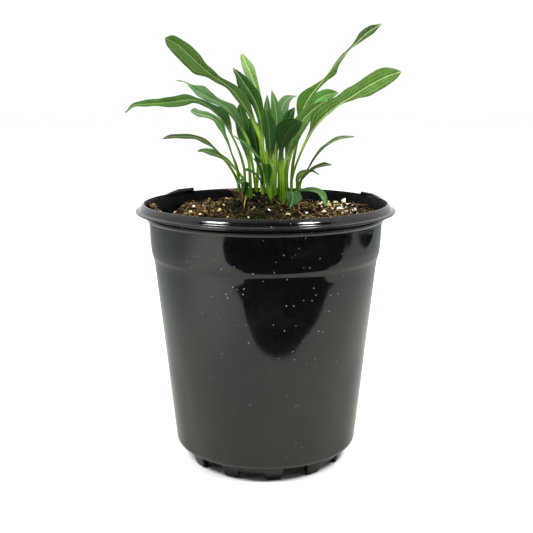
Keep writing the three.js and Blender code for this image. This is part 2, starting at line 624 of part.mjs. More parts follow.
// A grip tab is a low ridge on the rim, steep at one end and running out to nothing at the
// other. Its place is in degrees from the back, positive towards -X.
function tabSolid({ steepEnd, runs, height }) {
  const steps = 5;
  const top = [];
  const bottom = [];
  for (let step = 0; step <= steps; step += 1) {
    const share = runs > 0 ? step / steps : 1 - step / steps;
    const turn = THREE.MathUtils.degToRad(steepEnd + runs * tabSpan * share);
    const rise = height * Math.min(1, 0.1 + 1.8 * (1 - share));
    const ring = (radius, z) => new THREE.Vector3(-radius * Math.sin(turn), radius * Math.cos(turn), z);
    top.push([ring(mouthRadius - 0.9, potHeight + rise), ring(mouthRadius + 1.2, potHeight + rise)]);
    bottom.push([ring(mouthRadius - 0.9, potHeight - 2), ring(mouthRadius + 1.2, potHeight - 2)]);
  }
  return solidOf(sheetSolid(top, bottom));
}

function buildPot() {
  let pot = solidOf(lathe(potProfile(), potSides));
  for (let index = 0; index < footCount; index += 1) {
    const angle = footPhase + (index * 2 * Math.PI) / footCount;
    const gap = angle + Math.PI / footCount;
    pot = pot.add(footSolid(angle));
    pot = index % 2 ? pot.add(skirtSolid(gap)) : pot.subtract(drainSolid(gap));
  }
  for (const tab of tabs) {
    pot = pot.add(tabSolid(tab));
  }
  addNode('pot', geometryOf(pot), '#151617', 0.22);
}

// Crown and roots

function crownBody(margin) {
  const profile = [
    [0, crown.low - margin],
    [crown.core, crown.low - margin],
    [0.8, crown.top - 8],
    [0.97, crown.top - 4.5],
    [1, crown.top - crown.sag],
    [0.7, crown.top - crown.sag * 0.49],
    [0.35, crown.top - crown.sag * 0.12],
    [0, crown.top],
  ];
  const body = lathe(profile, crownSides);
  body.scale(crown.a + margin, crown.b + margin, 1);
  return solidOf(body.translate(crown.x, crown.y, 0));
}

// A root is a tapered rod that leaves the crown's underside and runs down and outwards.
function rootSolid(index, margin) {
  const sides = 6;
  const length = rootLength * (1 - 0.12 * (index % 3)) + margin;
  const geometry = new THREE.CylinderGeometry(rootRadius + margin, rootRadius * 0.4 + margin, length, sides);
  geometry.rotateX(Math.PI / 2).translate(0, 0, -length / 2);
  geometry.rotateX(-0.35 - 0.12 * (index % 2));
  geometry.rotateZ((index * 2 * Math.PI) / rootCount + 0.3);
  return solidOf(geometry.translate(crown.x, crown.y, crown.low + 4));
}

function crownWithRoots(margin) {
  let solid = crownBody(margin);
  for (let index = 0; index < rootCount; index += 1) {
    solid = solid.add(rootSolid(index, margin));
  }
  return solid;
}

// The hole that a leaf's stalk stands in, along the stalk's own direction.
function stalkHole(leaf) {
  const { start, direction } = pegOf(leaf);
  const radius = Math.max(leaf.stalk, stalkDepth) + holeMargin;
  const geometry = new THREE.CylinderGeometry(radius, radius, 3 * pegLength, 6);
  geometry.translate(0, 1.5 * pegLength - clearance, 0);
  const turn = new THREE.Quaternion().setFromUnitVectors(new THREE.Vector3(0, 1, 0), direction);
  geometry.applyQuaternion(turn);
  return solidOf(geometry.translate(start.x, start.y, start.z));
}

function buildCrown() {
  let solid = crownWithRoots(0);
  for (const leaf of leaves) {
    solid = solid.subtract(stalkHole(leaf));
  }
  addNode('crown_and_roots', geometryOf(solid), '#6b5a35', 0.8);
}

// Potting mix

function soilHeight(radius, turn) {
  const mound = soilMound * Math.exp(-((radius / moundRadius) ** 2.2));
  const lumps = 0.8 * Math.sin(3 * turn + radius / 9) + 0.5 * Math.sin(7 * turn - radius / 5);
  return soilEdge + mound + lumps * Math.min(1, radius / 30);
}

// The filling: a relief on top, then the inside of the pot followed down to its floor.
function soilBody() {
  const random = seededRandom(chipSeed);
  const edgeRadius = innerRadius(soilEdge) - clearance;
  const rings = [];
  const topRings = 8;
  for (let ring = 1; ring <= topRings; ring += 1) {
    const radius = edgeRadius * (ring / topRings);
    const rough = ring === topRings ? 0 : 0.8;
    rings.push((turn) => [radius, soilHeight(radius, turn) + rough * (random() - 0.5)]);
  }
  for (const z of [shoulderTop.z, taperTop.z, footHeight + cornerHeight + 1]) {
    rings.push(() => [innerRadius(z) - clearance, z]);
  }
  rings.push(() => [baseLineRadius - wall - clearance, footHeight + floorThickness + clearance]);
  const positions = [0, 0, soilHeight(0, 0)];
  for (const ring of rings) {
    for (let side = 0; side < soilSides; side += 1) {
      const turn = (side * 2 * Math.PI) / soilSides;
      const [radius, z] = ring(turn);
      positions.push(radius * Math.cos(turn), radius * Math.sin(turn), z);
    }
  }
  positions.push(0, 0, footHeight + floorThickness + clearance);
  const last = positions.length / 3 - 1;
  const triangles = [];
  const at = (ring, side) => 1 + ring * soilSides + (side % soilSides);
  for (let side = 0; side < soilSides; side += 1) {
    triangles.push(0, at(0, side), at(0, side + 1));
    for (let ring = 0; ring + 1 < rings.length; ring += 1) {
      const corners = [at(ring, side), at(ring + 1, side), at(ring + 1, side + 1), at(ring, side + 1)];
      triangles.push(corners[0], corners[1], corners[2], corners[0], corners[2], corners[3]);
    }
    triangles.push(last, at(rings.length - 1, side + 1), at(rings.length - 1, side));
  }
  const geometry = new THREE.BufferGeometry();
  geometry.setAttribute('position', new THREE.Float32BufferAttribute(positions, 3));
  geometry.setIndex(triangles);
  return solidOf(geometry);
}

// Bark chips lie sunk to half their height, turned and tipped by seeded draws.
function addChips(soil) {
  const random = seededRandom(chipSeed + 1);
  let solid = soil;
  for (let index = 0; index < chipCount; index += 1) {
    const turn = random() * 2 * Math.PI;
    const radius = THREE.MathUtils.lerp(34, 68, Math.sqrt(random()));
    const chip = new THREE.BoxGeometry(5 + 5 * random(), 3 + 2 * random(), 2.4 + 1.4 * random());
    chip.rotateX((random() - 0.5) * 0.7);
    chip.rotateY((random() - 0.5) * 0.7);
    chip.rotateZ(random() * Math.PI);
    const z = soilHeight(radius, turn) + 0.4;
    chip.translate(radius * Math.cos(turn), radius * Math.sin(turn), z);
    solid = solid.add(solidOf(chip));
  }
  return solid;
}

function buildSoil() {
  const pocketTop = new THREE.CylinderGeometry(1, 1, 20, crownSides).rotateX(Math.PI / 2);
  pocketTop.scale(crown.a + clearance, crown.b + clearance, 1);
  pocketTop.translate(crown.x, crown.y, crown.top - crown.sag + 10 - 0.5);
  let soil = addChips(soilBody());
  soil = soil.subtract(crownWithRoots(clearance)).subtract(solidOf(pocketTop));
  addNode('potting_mix', geometryOf(soil), '#3a2c20', 0.95);
}

// Leaves

function pegOf(leaf) {
  const start = new THREE.Vector3(leaf.base[0], leaf.base[1], seatZ);
  const direction = new THREE.Vector3(...leaf.path[0]).sub(start).normalize();
  return { start, direction };
}

// The half width on one side at a share of the length: the stalk's, and past the first stop a
// cubic that passes through the stops, with the slope at each taken from its neighbours.
function halfWidth(leaf, share, column) {
  const stops = leaf.blade;
  if (share <= stops[0][0]) {
    return leaf.stalk * (1 - 0.25 * share);
  }
  const next = Math.max(1, stops.findIndex(([at]) => at >= share));
  const slope = (index) => {
    const before = stops[Math.max(0, index - 1)];
    const after = stops[Math.min(stops.length - 1, index + 1)];
    return (after[column] - before[column]) / (after[0] - before[0]);
  };
  const span = stops[next][0] - stops[next - 1][0];
  const t = (share - stops[next - 1][0]) / span;
  const width = (2 * t ** 3 - 3 * t ** 2 + 1) * stops[next - 1][column]
    + (t ** 3 - 2 * t ** 2 + t) * span * slope(next - 1)
    + (3 * t ** 2 - 2 * t ** 3) * stops[next][column]
    + (t ** 3 - t ** 2) * span * slope(next);
  return Math.max(width, 0.3);
}

function leafGeometry(leaf) {
  const { start, direction } = pegOf(leaf);
  const points = [start, start.clone().addScaledVector(direction, pegLength)];
  for (const point of leaf.path) {
    points.push(new THREE.Vector3(...point));
  }
  const midrib = new THREE.CatmullRomCurve3(points, false, 'centripetal');
  const outward = points.at(-1).clone().sub(start).setZ(0).normalize();
  const level = new THREE.Vector3(outward.y, -outward.x, 0);
  const top = [];
  const bottom = [];
  for (let station = 0; station < leafStations; station += 1) {
    const share = station / (leafStations - 1);
    const centre = midrib.getPointAt(share);
    const tangent = midrib.getTangentAt(share);
    const side = level.clone().addScaledVector(tangent, -level.dot(tangent)).normalize();
    const blade = THREE.MathUtils.smoothstep(share, leaf.blade[0][0] * 0.6, leaf.blade[0][0] + 0.1);
    const roll = THREE.MathUtils.degToRad(THREE.MathUtils.lerp(leaf.roll[0], leaf.roll[1], share)) * blade;
    side.applyAxisAngle(tangent, roll);
    const up = side.clone().cross(tangent);
    const low = halfWidth(leaf, share, 1);
    const high = halfWidth(leaf, share, 2);
    const ripple = leaf.wave * blade * Math.min(1, (low + high) / 6);
    const depth = THREE.MathUtils.lerp(stalkDepth, 0.25, blade) * (1 - 0.3 * share);
    const edge = THREE.MathUtils.lerp(stalkDepth * 0.8, edgeThickness, blade);
    const place = (across, lift) => centre.clone().addScaledVector(side, across).addScaledVector(up, lift);
    const swing = 2 * Math.PI * 2.5 * share;
    const left = leaf.fold * low * blade + ripple * Math.sin(swing);
    const right = leaf.fold * high * blade + ripple * Math.sin(swing + 2);
    top.push([
      place(-low, left + edge / 2),
      place(0, ribHeight * (1 - 0.5 * share)),
      place(high, right + edge / 2),
    ]);
    bottom.push([
      place(-low, left - edge / 2),
      place(0, -depth - edgeThickness / 2),
      place(high, right - edge / 2),
    ]);
  }
  return sheetSolid(top, bottom);
}

buildPot();
buildSoil();
buildCrown();
for (const leaf of leaves) {
  addNode(leaf.name, leafGeometry(leaf), leaf.colour, 0.5);
}

export default group;
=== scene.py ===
"""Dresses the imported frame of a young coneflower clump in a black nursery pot.

The clump is basal leaves alone, whose stalks rise from one crown in potting mix. Tables and
shape functions are in millimetres; meshes are in metres, with -Y facing the camera and +Z up.
"""

import functools
import math

import bpy
import numpy as np
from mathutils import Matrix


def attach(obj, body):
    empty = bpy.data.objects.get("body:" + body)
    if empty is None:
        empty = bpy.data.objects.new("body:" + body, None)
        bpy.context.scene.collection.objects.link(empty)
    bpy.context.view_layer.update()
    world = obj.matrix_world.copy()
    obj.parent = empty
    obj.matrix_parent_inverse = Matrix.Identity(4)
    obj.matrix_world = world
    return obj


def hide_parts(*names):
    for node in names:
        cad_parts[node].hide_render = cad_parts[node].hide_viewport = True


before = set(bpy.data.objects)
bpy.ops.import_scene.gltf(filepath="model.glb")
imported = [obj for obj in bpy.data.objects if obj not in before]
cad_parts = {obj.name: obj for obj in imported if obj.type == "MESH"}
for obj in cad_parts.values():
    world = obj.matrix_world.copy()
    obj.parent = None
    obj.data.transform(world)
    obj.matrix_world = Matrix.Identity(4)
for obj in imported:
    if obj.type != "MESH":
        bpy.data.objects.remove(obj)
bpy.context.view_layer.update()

bl_info = {
    "name": "Potted Coneflower",
    "version": (1, 0, 0),
    "blender": (4, 5, 0),
    "location": "View3D > Sidebar > Coneflower",
    "description": "Builds the pot, the potting mix, the clump of leaves and a plain stage",
    "category": "Add Mesh",
}

MM = 0.001


def linear(hex_colour):
    """An sRGB hex colour as linear RGBA."""
    srgb = np.array([int(hex_colour[i:i + 2], 16) for i in (1, 3, 5)]) / 255
    rgb = np.where(srgb <= 0.04045, srgb / 12.92, ((srgb + 0.055) / 1.055) ** 2.4)
    return (*rgb.tolist(), 1.0)


# The leaves

# A row for each leaf node: its finish, the colours of its lower half and its tip, and how much
# light shows its veins up; where its stalk leaves the crown and the stalk's half width; how far
# the blade is turned about its midrib at the base and at the tip, in degrees, how far its edges
# wave, and how steeply they rise as a keel does. Then the points that the midrib follows, by x,
# y and z, and the stops of the blade: a share of the length and the half width there, after a 1
# on both sides alike, and after a 2 on the left and on the right of the midrib.
# The two colours of a row are the leaf's own green with painted shade in them: leaves that lie in
# the shade of others are given darker greens, down to near black.
LEAVES = {
    "leaf_upper_left": (
        "mid", "#223f04", "#2f4c16", 0.21, (4, -3), 1.6, (-50, -62), 0.4, 0.18,
        [2.2, -2, 182.7, -1.6, 2, 200.7, -4.8, 5, 210.6, -8.7, 8, 219.2, -12.5, 11, 226,
         -17, 14, 232.2, -21.6, 17, 237.6, -26.2, 20, 241.2, -33.4, 23, 245.8, -40, 26, 250.9,
         -46, 29, 256, -51.9, 31, 261.5, -58.5, 33, 266.9, -65.7, 34, 270.5],
        2, [0.38, 1.44, 1.44, 0.44, 1.3, 2.6, 0.49, 2.2, 4.4, 0.55, 2.4, 4.8, 0.61, 1.9, 3,
         0.66, 2.6, 2.2, 0.72, 3.4, 3, 0.77, 7.1, 3.3, 0.83, 7.1, 5, 0.89, 6.8, 5, 0.94, 6, 4.3,
         0.98, 4, 3.3, 1, 0.3, 0.3]),
    "leaf_long_left": (
        "mid", "#0e3503", "#31541c", 0.24, (-12.5, 5), 1.5, (-35, -60), 0.7, 0.18,
        [-13.5, 3, 188.6, -17.5, 1, 202, -20.5, -1, 208.4, -23.5, -2, 214, -27.2, -4, 219.7,
         -30.8, -5.5, 223.7, -35.6, -7, 227.7, -40.3, -9, 230.5, -45.1, -10, 231.6,
         -50, -11, 231.3, -58.4, -13, 230.1, -70.5, -14, 229.2, -80.7, -15, 228, -85.7, -15, 224],
        2, [0.38, 1.35, 1.35, 0.44, 1.6, 6.5, 0.5, 2.2, 6.1, 0.57, 2.7, 3.2, 0.63, 2.5, 2.3,
         0.69, 3.6, 3.8, 0.75, 4.3, 3.1, 0.81, 2.8, 2.7, 0.88, 2.4, 2.7, 0.94, 1.4, 1.8,
         0.978, 0.9, 0.5, 1, 0.3, 0.3]),
    "leaf_thin_left": (
        "mid", "#254413", "#4a6a40", 0.17, (-5, 1.5), 1.3, (-45, -55), 0.6, 0.18,
        [-8, 3, 190.5, -11.2, 6, 205.5, -15.1, 8, 212.3, -18.9, 9, 219.2, -23.3, 10, 224.8,
         -28.5, 12, 228.7, -33.6, 13, 231.4, -38.7, 13, 234.1, -43.8, 14, 237, -47.6, 14, 239.5,
         -51.5, 15, 242.3, -56.9, 15, 243.4],
        2, [0.44, 1.17, 1.17, 0.5, 1.8, 2.3, 0.55, 2.3, 3.7, 0.61, 2.5, 5, 0.66, 2.2, 3.5,
         0.72, 2.6, 2.3, 0.78, 3.4, 3.7, 0.83, 3.8, 4.7, 0.89, 1.7, 1.9, 0.94, 0.4, 0.4,
         0.98, 0.5, 0.5, 1, 0.3, 0.3]),
    "leaf_curled_left": (
        "mid", "#2f610a", "#496540", 0.25, (-16.5, 0), 1.3, (-50, -70), 0.6, 0.18,
        [-17.4, -3, 186.6, -21, -7, 198.8, -24.5, -10, 208.3, -27.4, -13, 215.2, -30.9, -15, 219.8,
         -35, -17, 222.1, -40.3, -19, 223.5, -45.3, -20, 225.2],
        2, [0.5, 1.17, 1.17, 0.56, 1.8, 1.9, 0.62, 2.1, 2, 0.69, 2.4, 3.1, 0.75, 2.7, 2.8,
         0.81, 2.2, 2.1, 0.88, 2.1, 2.3, 0.94, 2.8, 2.6, 0.978, 1.6, 2.8, 1, 0.3, 0.3]),
    "leaf_low_left": (
        "mid", "#263f08", "#283a1b", 0.18, (-14, -5), 1.3, (-25, -45), 0.4, 0.18,
        [-17.3, -9, 181.5, -20.9, -12, 189.3, -25, -15, 195.1, -29.1, -18, 200.3,
         -33.8, -20, 204.8, -38.5, -22, 207.9, -43.2, -24, 209.6, -49.6, -26, 210.1,
         -56.1, -27, 210, -61.4, -28, 209.1],
        2, [0.5, 1.17, 1.17, 0.56, 2.8, 1.8, 0.62, 2.8, 2.3, 0.69, 2.8, 2.1, 0.75, 2.1, 1.7,
         0.81, 2.3, 1.8, 0.88, 2.3, 1.9, 0.94, 1.8, 1.8, 0.978, 0.8, 1, 1, 0.3, 0.3]),
    "leaf_behind_low_left": (
        "mid", "#2e491a", "#385b2a", 0.3, (-11, 13), 1.2, (-35, -45), 0.4, 0.18,
        [-14.8, 15, 180.9, -20.7, 18, 187.8, -26, 20.5, 192.2, -32, 23, 195.3, -38, 25, 197.2,
         -45.1, 27, 197.4],
        2, [0.5, 1.08, 1.08, 0.56, 1.5, 1.4, 0.62, 1.2, 1.8, 0.69, 1.4, 2, 0.75, 2.1, 2.4,
         0.81, 2.7, 2.5, 0.88, 2, 2.6, 0.94, 0.7, 2.4, 0.978, 0.5, 1.8, 1, 0.3, 0.3]),
    "leaf_centre_bright": (
        "bright", "#336903", "#628244", 0.6, (-2.5, 13), 1.3, (-20, -40), 0.5, 0.18,
        [-2.3, 14, 189.5, -3.6, 17, 208.6, -4.6, 21, 227.7, -5.9, 24, 237.2, -7.9, 26, 243.6,
         -10.8, 28, 250, -13.4, 30, 255.7, -15.6, 32, 260.7],
        2, [0.52, 1.17, 1.17, 0.58, 1.6, 1.3, 0.64, 1.9, 1.6, 0.7, 2.9, 2.1, 0.76, 3.6, 2.2,
         0.82, 3.8, 2.9, 0.88, 3.6, 3.8, 0.94, 2.7, 2.6, 0.979, 1.8, 1.2, 1, 0.3, 0.3]),
    "leaf_centre_folded": (
        "mid", "#1d4f03", "#073703", 0.3, (-1, 6), 1.4, (-45, -60), 0.9, 0.18,
        [-1, 8, 190, -2.3, 11.5, 208.9, -3.6, 13.5, 220.3, -6.2, 15.5, 229.1, -9.7, 17.5, 235.7,
         -13.6, 19, 241.3, -17.4, 20, 246.7, -20.8, 21, 251],
        2, [0.5, 1.26, 1.26, 0.56, 1.7, 1.7, 0.62, 2.2, 2.7, 0.69, 2.9, 4.1, 0.75, 3.8, 4.9,
         0.81, 4.2, 4.4, 0.88, 4.3, 3.8, 0.94, 2.1, 2.3, 0.978, 1.3, 1, 1, 0.3, 0.3]),
    "leaf_centre_small": (
        "mid", "#224714", "#2c521c", 0.3, (2, 18), 1.3, (0, 0), 0.3, 0.18,
        [1, 21, 189, 1, 26, 205, 1, 32, 219, 1, 38, 234],
        1, [0.5, 1, 0.58, 1.7, 0.67, 2.7, 0.75, 3, 0.83, 2.7, 0.92, 1.7, 0.97, 0.8, 1, 0.3]),
    "leaf_centre_point": (
        "mid", "#224919", "#375c26", 0.3, (5.1, 8.3), 1.7, (0, 0), 0.4, 0.18,
        [6.2, 10, 190, 6.6, 12, 206, 7, 15, 221, 4, 18, 237],
        1, [0.45, 1.4, 0.54, 2.7, 0.63, 3.8, 0.73, 4, 0.82, 3.4, 0.91, 2.1, 0.97, 0.9, 1, 0.3]),
    "leaf_centre_round": (
        "deep", "#073103", "#0c4103", 0.2, (1.9, 2.4), 1.8, (0, 0), 0.4, 0.18,
        [3, 2, 191, 3, 1, 203, 2, -1, 216, 0, -3, 226],
        1, [0.5, 1.4, 0.58, 2.4, 0.67, 4, 0.75, 4.6, 0.83, 4.2, 0.92, 2.7, 0.97, 1.3, 1, 0.3]),
    "leaf_arched_back": (
        "mid", "#2e4d20", "#455f3d", 0.3, (9, 15.5), 1.2, (10, 25), 0.4, 0.18,
        [9, 19, 189, 10, 25, 205, 10, 32, 219, 12, 40, 228, 16, 47, 232, 21, 54, 233],
        1, [0.45, 1.1, 0.54, 2.8, 0.63, 4, 0.73, 4.2, 0.82, 3.5, 0.91, 2.2, 0.97, 0.9, 1, 0.3]),
    "leaf_short_back": (
        "mid", "#203e17", "#0e4303", 0.2, (13, 11.5), 1.2, (10, 20), 0.4, 0.18,
        [13, 14, 189, 15, 18, 205, 15, 23, 219, 19, 27, 226],
        1, [0.5, 1.1, 0.58, 1.9, 0.67, 3.3, 0.75, 4.1, 0.83, 4, 0.92, 2.7, 0.97, 1.3, 1, 0.3]),
    "leaf_upper_right": (
        "bright", "#2e5504", "#2b451b", 0.45, (16, 5.5), 1.5, (40, 62), 0.6, 0.18,
        [17, 8, 188.1, 20.2, 12, 205.7, 22.5, 14.5, 217.1, 24.4, 16.5, 225.3, 27.4, 18.5, 231.5,
         31.6, 20, 236.9, 36.3, 22, 242.6, 42.3, 24.5, 249.9, 47.2, 26, 255.6, 52.5, 27.5, 260.9,
         57.7, 29, 265.9, 65.9, 31.5, 273.5, 75.4, 33, 279.4],
        2, [0.38, 1.35, 1.35, 0.43, 3.7, 1.5, 0.48, 6.1, 3.2, 0.52, 4.7, 2.3, 0.57, 2.5, 1.6,
         0.62, 0.4, 2.6, 0.67, 0.4, 4.4, 0.71, 0.9, 2.5, 0.76, 1.3, 1.2, 0.81, 1.1, 0.4,
         0.86, 2, 1.5, 0.9, 3.3, 2.5, 0.95, 2.6, 2.6, 0.983, 1, 1, 1, 0.3, 0.3]),
    "leaf_behind_right": (
        "bright", "#38661f", "#44742b", 0.4, (14, 17), 1.2, (40, 60), 0.5, 0.18,
        [14.1, 22, 185.5, 17.5, 28, 198.2, 22.3, 34, 211, 28.4, 40, 223.3, 35.3, 44, 230.8,
         42.2, 47, 234.2, 49.4, 49, 235.2],
        2, [0.5, 1.08, 1.08, 0.56, 1.8, 1.5, 0.62, 1.9, 1.6, 0.69, 2.4, 1.5, 0.75, 3.1, 1.4,
         0.81, 4, 2.4, 0.88, 4.1, 3.7, 0.94, 2.9, 3.4, 0.978, 1.5, 1.7, 1, 0.3, 0.3]),
    "leaf_side_right": (
        "mid", "#2f5014", "#3b5b1d", 0.35, (10.5, 3), 1.3, (45, 62), 0.5, 0.18,
        [11.7, 3, 188.6, 14.9, 5, 199.8, 18.1, 6, 209.2, 21.9, 7.5, 216.1, 27, 9, 222.3,
         32.7, 10, 227, 38.5, 11, 230.4],
        1, [0.4, 1.2, 0.5, 3.2, 0.6, 4.7, 0.7, 5, 0.8, 4.3, 0.9, 2.7, 0.97, 1.1, 1, 0.3]),
    "leaf_big_right": (
        "bright", "#2b4c0a", "#3c5b1d", 0.55, (15, -3), 1.6, (50, 64), 0.5, 0.18,
        [16.7, -4, 184.2, 20.9, -5, 196.8, 24.6, -5.5, 204.9, 29.5, -6, 213.3, 34.9, -7, 219.8,
         41, -7, 225.3, 47.1, -8, 229.7, 53.2, -8, 233.5, 58.6, -8, 237.1, 65.3, -8, 241,
         71.9, -8, 244.5, 77.4, -8, 246.8, 83, -8, 248.3],
        2, [0.38, 1.35, 1.35, 0.43, 2.3, 0.9, 0.5, 7, 0.5, 0.57, 6.7, 0.6, 0.64, 5.8, 0.6,
         0.72, 6.4, 3.6, 0.79, 5.5, 7.2, 0.86, 6.2, 7, 0.93, 5.3, 5.5, 0.975, 2.7, 3,
         1, 0.3, 0.3]),
    "leaf_arc_right": (
        "mid", "#2c4a18", "#35502a", 0.3, (20, -2.5), 1.2, (20, 35), 0.3, 0.18,
        [22.3, -5, 182.4, 26.8, -8, 189.9, 30.4, -10, 196, 34.2, -12, 201, 39, -14, 205.2,
         44.4, -15.5, 208.1, 49.1, -16.5, 209.3, 54, -17, 209.7],
        1, [0.4, 1.1, 0.5, 1.5, 0.6, 2.3, 0.7, 2.6, 0.8, 2.3, 0.9, 1.5, 0.97, 0.6, 1, 0.3]),
    "leaf_low_right": (
        "deep", "#1b350a", "#152d0a", 0.25, (19, -7.5), 1.2, (30, 45), 0.3, 0.18,
        [20.7, -14, 180.8, 23.6, -18, 185, 27.1, -22, 189, 31.1, -26, 191.8, 35.1, -29, 193.4,
         39.4, -32, 193.8],
        1, [0.4, 1.1, 0.5, 1.9, 0.6, 2.8, 0.7, 3, 0.8, 2.6, 0.9, 1.6, 0.97, 0.6, 1, 0.3]),
    "leaf_low_back_right": (
        "mid", "#35551f", "#2f4c1d", 0.25, (20, 9.5), 1.1, (20, 30), 0.3, 0.18,
        [21, 12, 181.2, 24.4, 16, 184.2, 28.5, 19, 185, 31.9, 21, 184.5, 35.2, 23, 182.6],
        1, [0.35, 1, 0.46, 1.6, 0.57, 2.2, 0.68, 2.4, 0.78, 2, 0.89, 1.3, 0.97, 0.5, 1, 0.3]),
    "leaf_front_round": (
        "deep", "#0a3003", "#0f3703", 0.1, (10.5, -11.5), 2, (0, -10), 0.6, 0.2,
        [9.8, -16, 182.9, 9.8, -18, 193.6, 9.7, -20, 203.4, 10.8, -22, 208.4, 13.2, -24.5, 213.3,
         16.4, -27, 217.3, 20.4, -29.5, 219.7],
        2, [0.5, 1.8, 1.8, 0.56, 1.8, 1.4, 0.62, 2, 1.5, 0.69, 4.5, 4, 0.75, 6.7, 6.5,
         0.81, 8, 7.2, 0.88, 8.7, 7.3, 0.94, 7.4, 6.7, 0.978, 5.3, 4.3, 1, 0.3, 0.3]),
    "leaf_front_arch": (
        "deep", "#1d4510", "#183a0c", 0.2, (-1, -12.5), 1.2, (-30, -40), 0.2, 0.18,
        [-2, -15, 179.7, -4.2, -18, 185, -7.1, -21, 187.8, -10.1, -24, 189.5, -13.3, -27, 190.4],
        1, [0.4, 1.1, 0.52, 1.5, 0.65, 1.8, 0.8, 1.8, 0.92, 1.5, 0.98, 0.9, 1, 0.4]),
    "leaf_front_spoon": (
        "deep", "#215e03", "#155703", 0.3, (4, -14), 1.2, (0, 0), 0.2, 0.18,
        [1.9, -16, 176.7, 1.6, -18, 183.1, 1.1, -21, 188.3, 0.7, -24, 192.3, 0.4, -26, 194.4],
        2, [0.45, 1.1, 1.1, 0.6, 1.5, 1.5, 0.72, 2.5, 2.7, 0.85, 2.9, 3.1, 0.94, 2.4, 2.5,
         0.985, 1.4, 1.4, 1, 0.6, 0.6]),
    "leaf_front_slip": (
        "deep", "#2f5319", "#2c4e18", 0.3, (-5, -7.5), 1.1, (-20, -30), 0.2, 0.18,
        [-2.1, -9, 180.9, -2.9, -11, 186.1, -4.3, -13, 191.3, -6, -15, 194.7, -7.4, -17, 196.4],
        1, [0.4, 1, 0.52, 1.2, 0.65, 1.5, 0.8, 1.5, 0.92, 1.1, 0.98, 0.6, 1, 0.3]),
    "leaf_narrow_dark": (
        "deep", "#2f5520", "#345c2a", 0.3, (-1.5, -4), 1.1, (-30, -40), 0.3, 0.18,
        [-1, -7, 191, -7, -10, 199, -12, -13, 204, -19, -16, 210],
        1, [0.45, 1, 0.54, 1.8, 0.63, 2.5, 0.73, 2.7, 0.82, 2.3, 0.91, 1.4, 0.97, 0.6, 1, 0.3]),
    "leaf_dark_back_left": (
        "deep", "#0c3204", "#113b07", 0.12, (-7, 18), 1.2, (0, -15), 0.4, 0.18,
        [-5, 24, 186.6, -5.5, 28, 196.8, -6.7, 31, 205.9, -8.4, 33.5, 213.7, -10.1, 35, 220.2],
        2, [0.42, 1.1, 1.1, 0.55, 2.6, 2.8, 0.66, 4.2, 4.2, 0.77, 4.8, 4.6, 0.87, 4, 3.8,
         0.95, 2.1, 2, 1, 0.4, 0.4]),
    "leaf_dark_left": (
        "deep", "#163808", "#1e470c", 0.12, (-9.5, 8.5), 1.2, (-20, -35), 0.4, 0.18,
        [-10.4, 12, 187.7, -11.8, 17, 199, -13.6, 21.5, 210.3, -15.5, 25, 219.9,
         -17.1, 27.5, 228.2],
        2, [0.42, 1.1, 1.1, 0.52, 2.4, 2.6, 0.62, 4.3, 4.2, 0.72, 5.2, 4.6, 0.82, 5, 4.4,
         0.91, 3.6, 3.2, 0.97, 1.8, 1.6, 1, 0.4, 0.4]),
    "leaf_back_low": (
        "mid", "#466a2c", "#557a3a", 0.4, (6, 20.5), 1.2, (0, 0), 0.5, 0.18,
        [6, 28, 179, 8, 38, 187, 9, 50, 190, 10, 61, 187],
        1, [0.4, 1.1, 0.5, 2.3, 0.6, 3.6, 0.7, 4, 0.8, 3.6, 0.9, 2.3, 0.97, 0.9, 1, 0.3]),
    "leaf_stub": (
        "deep", "#33591f", "#2f551e", 0.25, (-17, -8.5), 1.6, (-10, -25), 0.2, 0.18,
        [-13.6, -12.5, 176.3, -12.8, -14.5, 180, -13.1, -17.5, 182.3, -15.2, -20.5, 182.3,
         -17.6, -23, 180.6],
        2, [0.3, 1.4, 1.4, 0.42, 1.7, 1.7, 0.55, 2.4, 2.6, 0.7, 2.5, 2.7, 0.83, 1.9, 2,
         0.94, 0.9, 0.9, 1, 0.3, 0.3]),
    "leaf_over_soil": (
        "mid", "#26441d", "#335a26", 0.3, (15, -12), 1.2, (25, 0), 0.4, 0.18,
        [18.9, -15, 175.2, 24.3, -18, 176.6, 29.6, -22, 177.1, 33.4, -26.5, 175.6,
         35.3, -30, 172.3, 36, -32, 168.5],
        2, [0.2, 1.2, 1.2, 0.33, 2.6, 2.4, 0.48, 3.6, 3.2, 0.62, 4.1, 3.6, 0.75, 3.8, 3.6,
         0.86, 2.7, 2.7, 0.95, 1.2, 1.2, 1, 0.3, 0.3]),
    "leaf_lobed": (
        "deep", "#193a15", "#21401b", 0.2, (9.5, -16.5), 0.9, (0, 0), 0.5, 0.18,
        [15.3, -20, 174.7, 16.5, -23, 176.2, 16.7, -26, 173.6, 15.8, -28.5, 170.3,
         14.5, -30, 167.3],
        2, [0.22, 0.9, 0.9, 0.36, 1.6, 1.7, 0.5, 1.9, 4, 0.6, 4.6, 4.6, 0.7, 6.2, 5.2,
         0.8, 4.4, 4.4, 0.9, 1.9, 2.6, 0.97, 0.9, 1, 1, 0.3, 0.3]),
    "leaf_young_shoot": (
        "mid", "#4a7a34", "#5a8a44", 0.3, (-7.5, -13), 0.9, (-10, -20), 0.1, 0.18,
        [-8, -14, 171.3, -7.8, -15.2, 173, -7, -17, 173.8],
        1, [0.35, 0.8, 0.55, 1.3, 0.75, 1.3, 0.9, 0.8, 1, 0.3]),
    "dry_leaf_base": (
        "dry", "#8c7450", "#6e5a3c", 0.2, (-12.5, -12.5), 1.3, (20, 60), 0.7, 0.18,
        [-16, -14.5, 172, -18.5, -16, 175, -21, -16.5, 176.5, -23.5, -16, 177],
        1, [0.2, 1.2, 0.33, 1.8, 0.47, 2.5, 0.6, 2.6, 0.73, 2.1, 0.87, 1.3, 0.97, 0.4, 1, 0.3]),
}


# Settings that a user would change

def length_setting(name, description, millimetres):
    """A length that is given in millimetres and kept in metres."""
    return bpy.props.FloatProperty(
        name=name, description=description, default=millimetres * MM, unit="LENGTH")


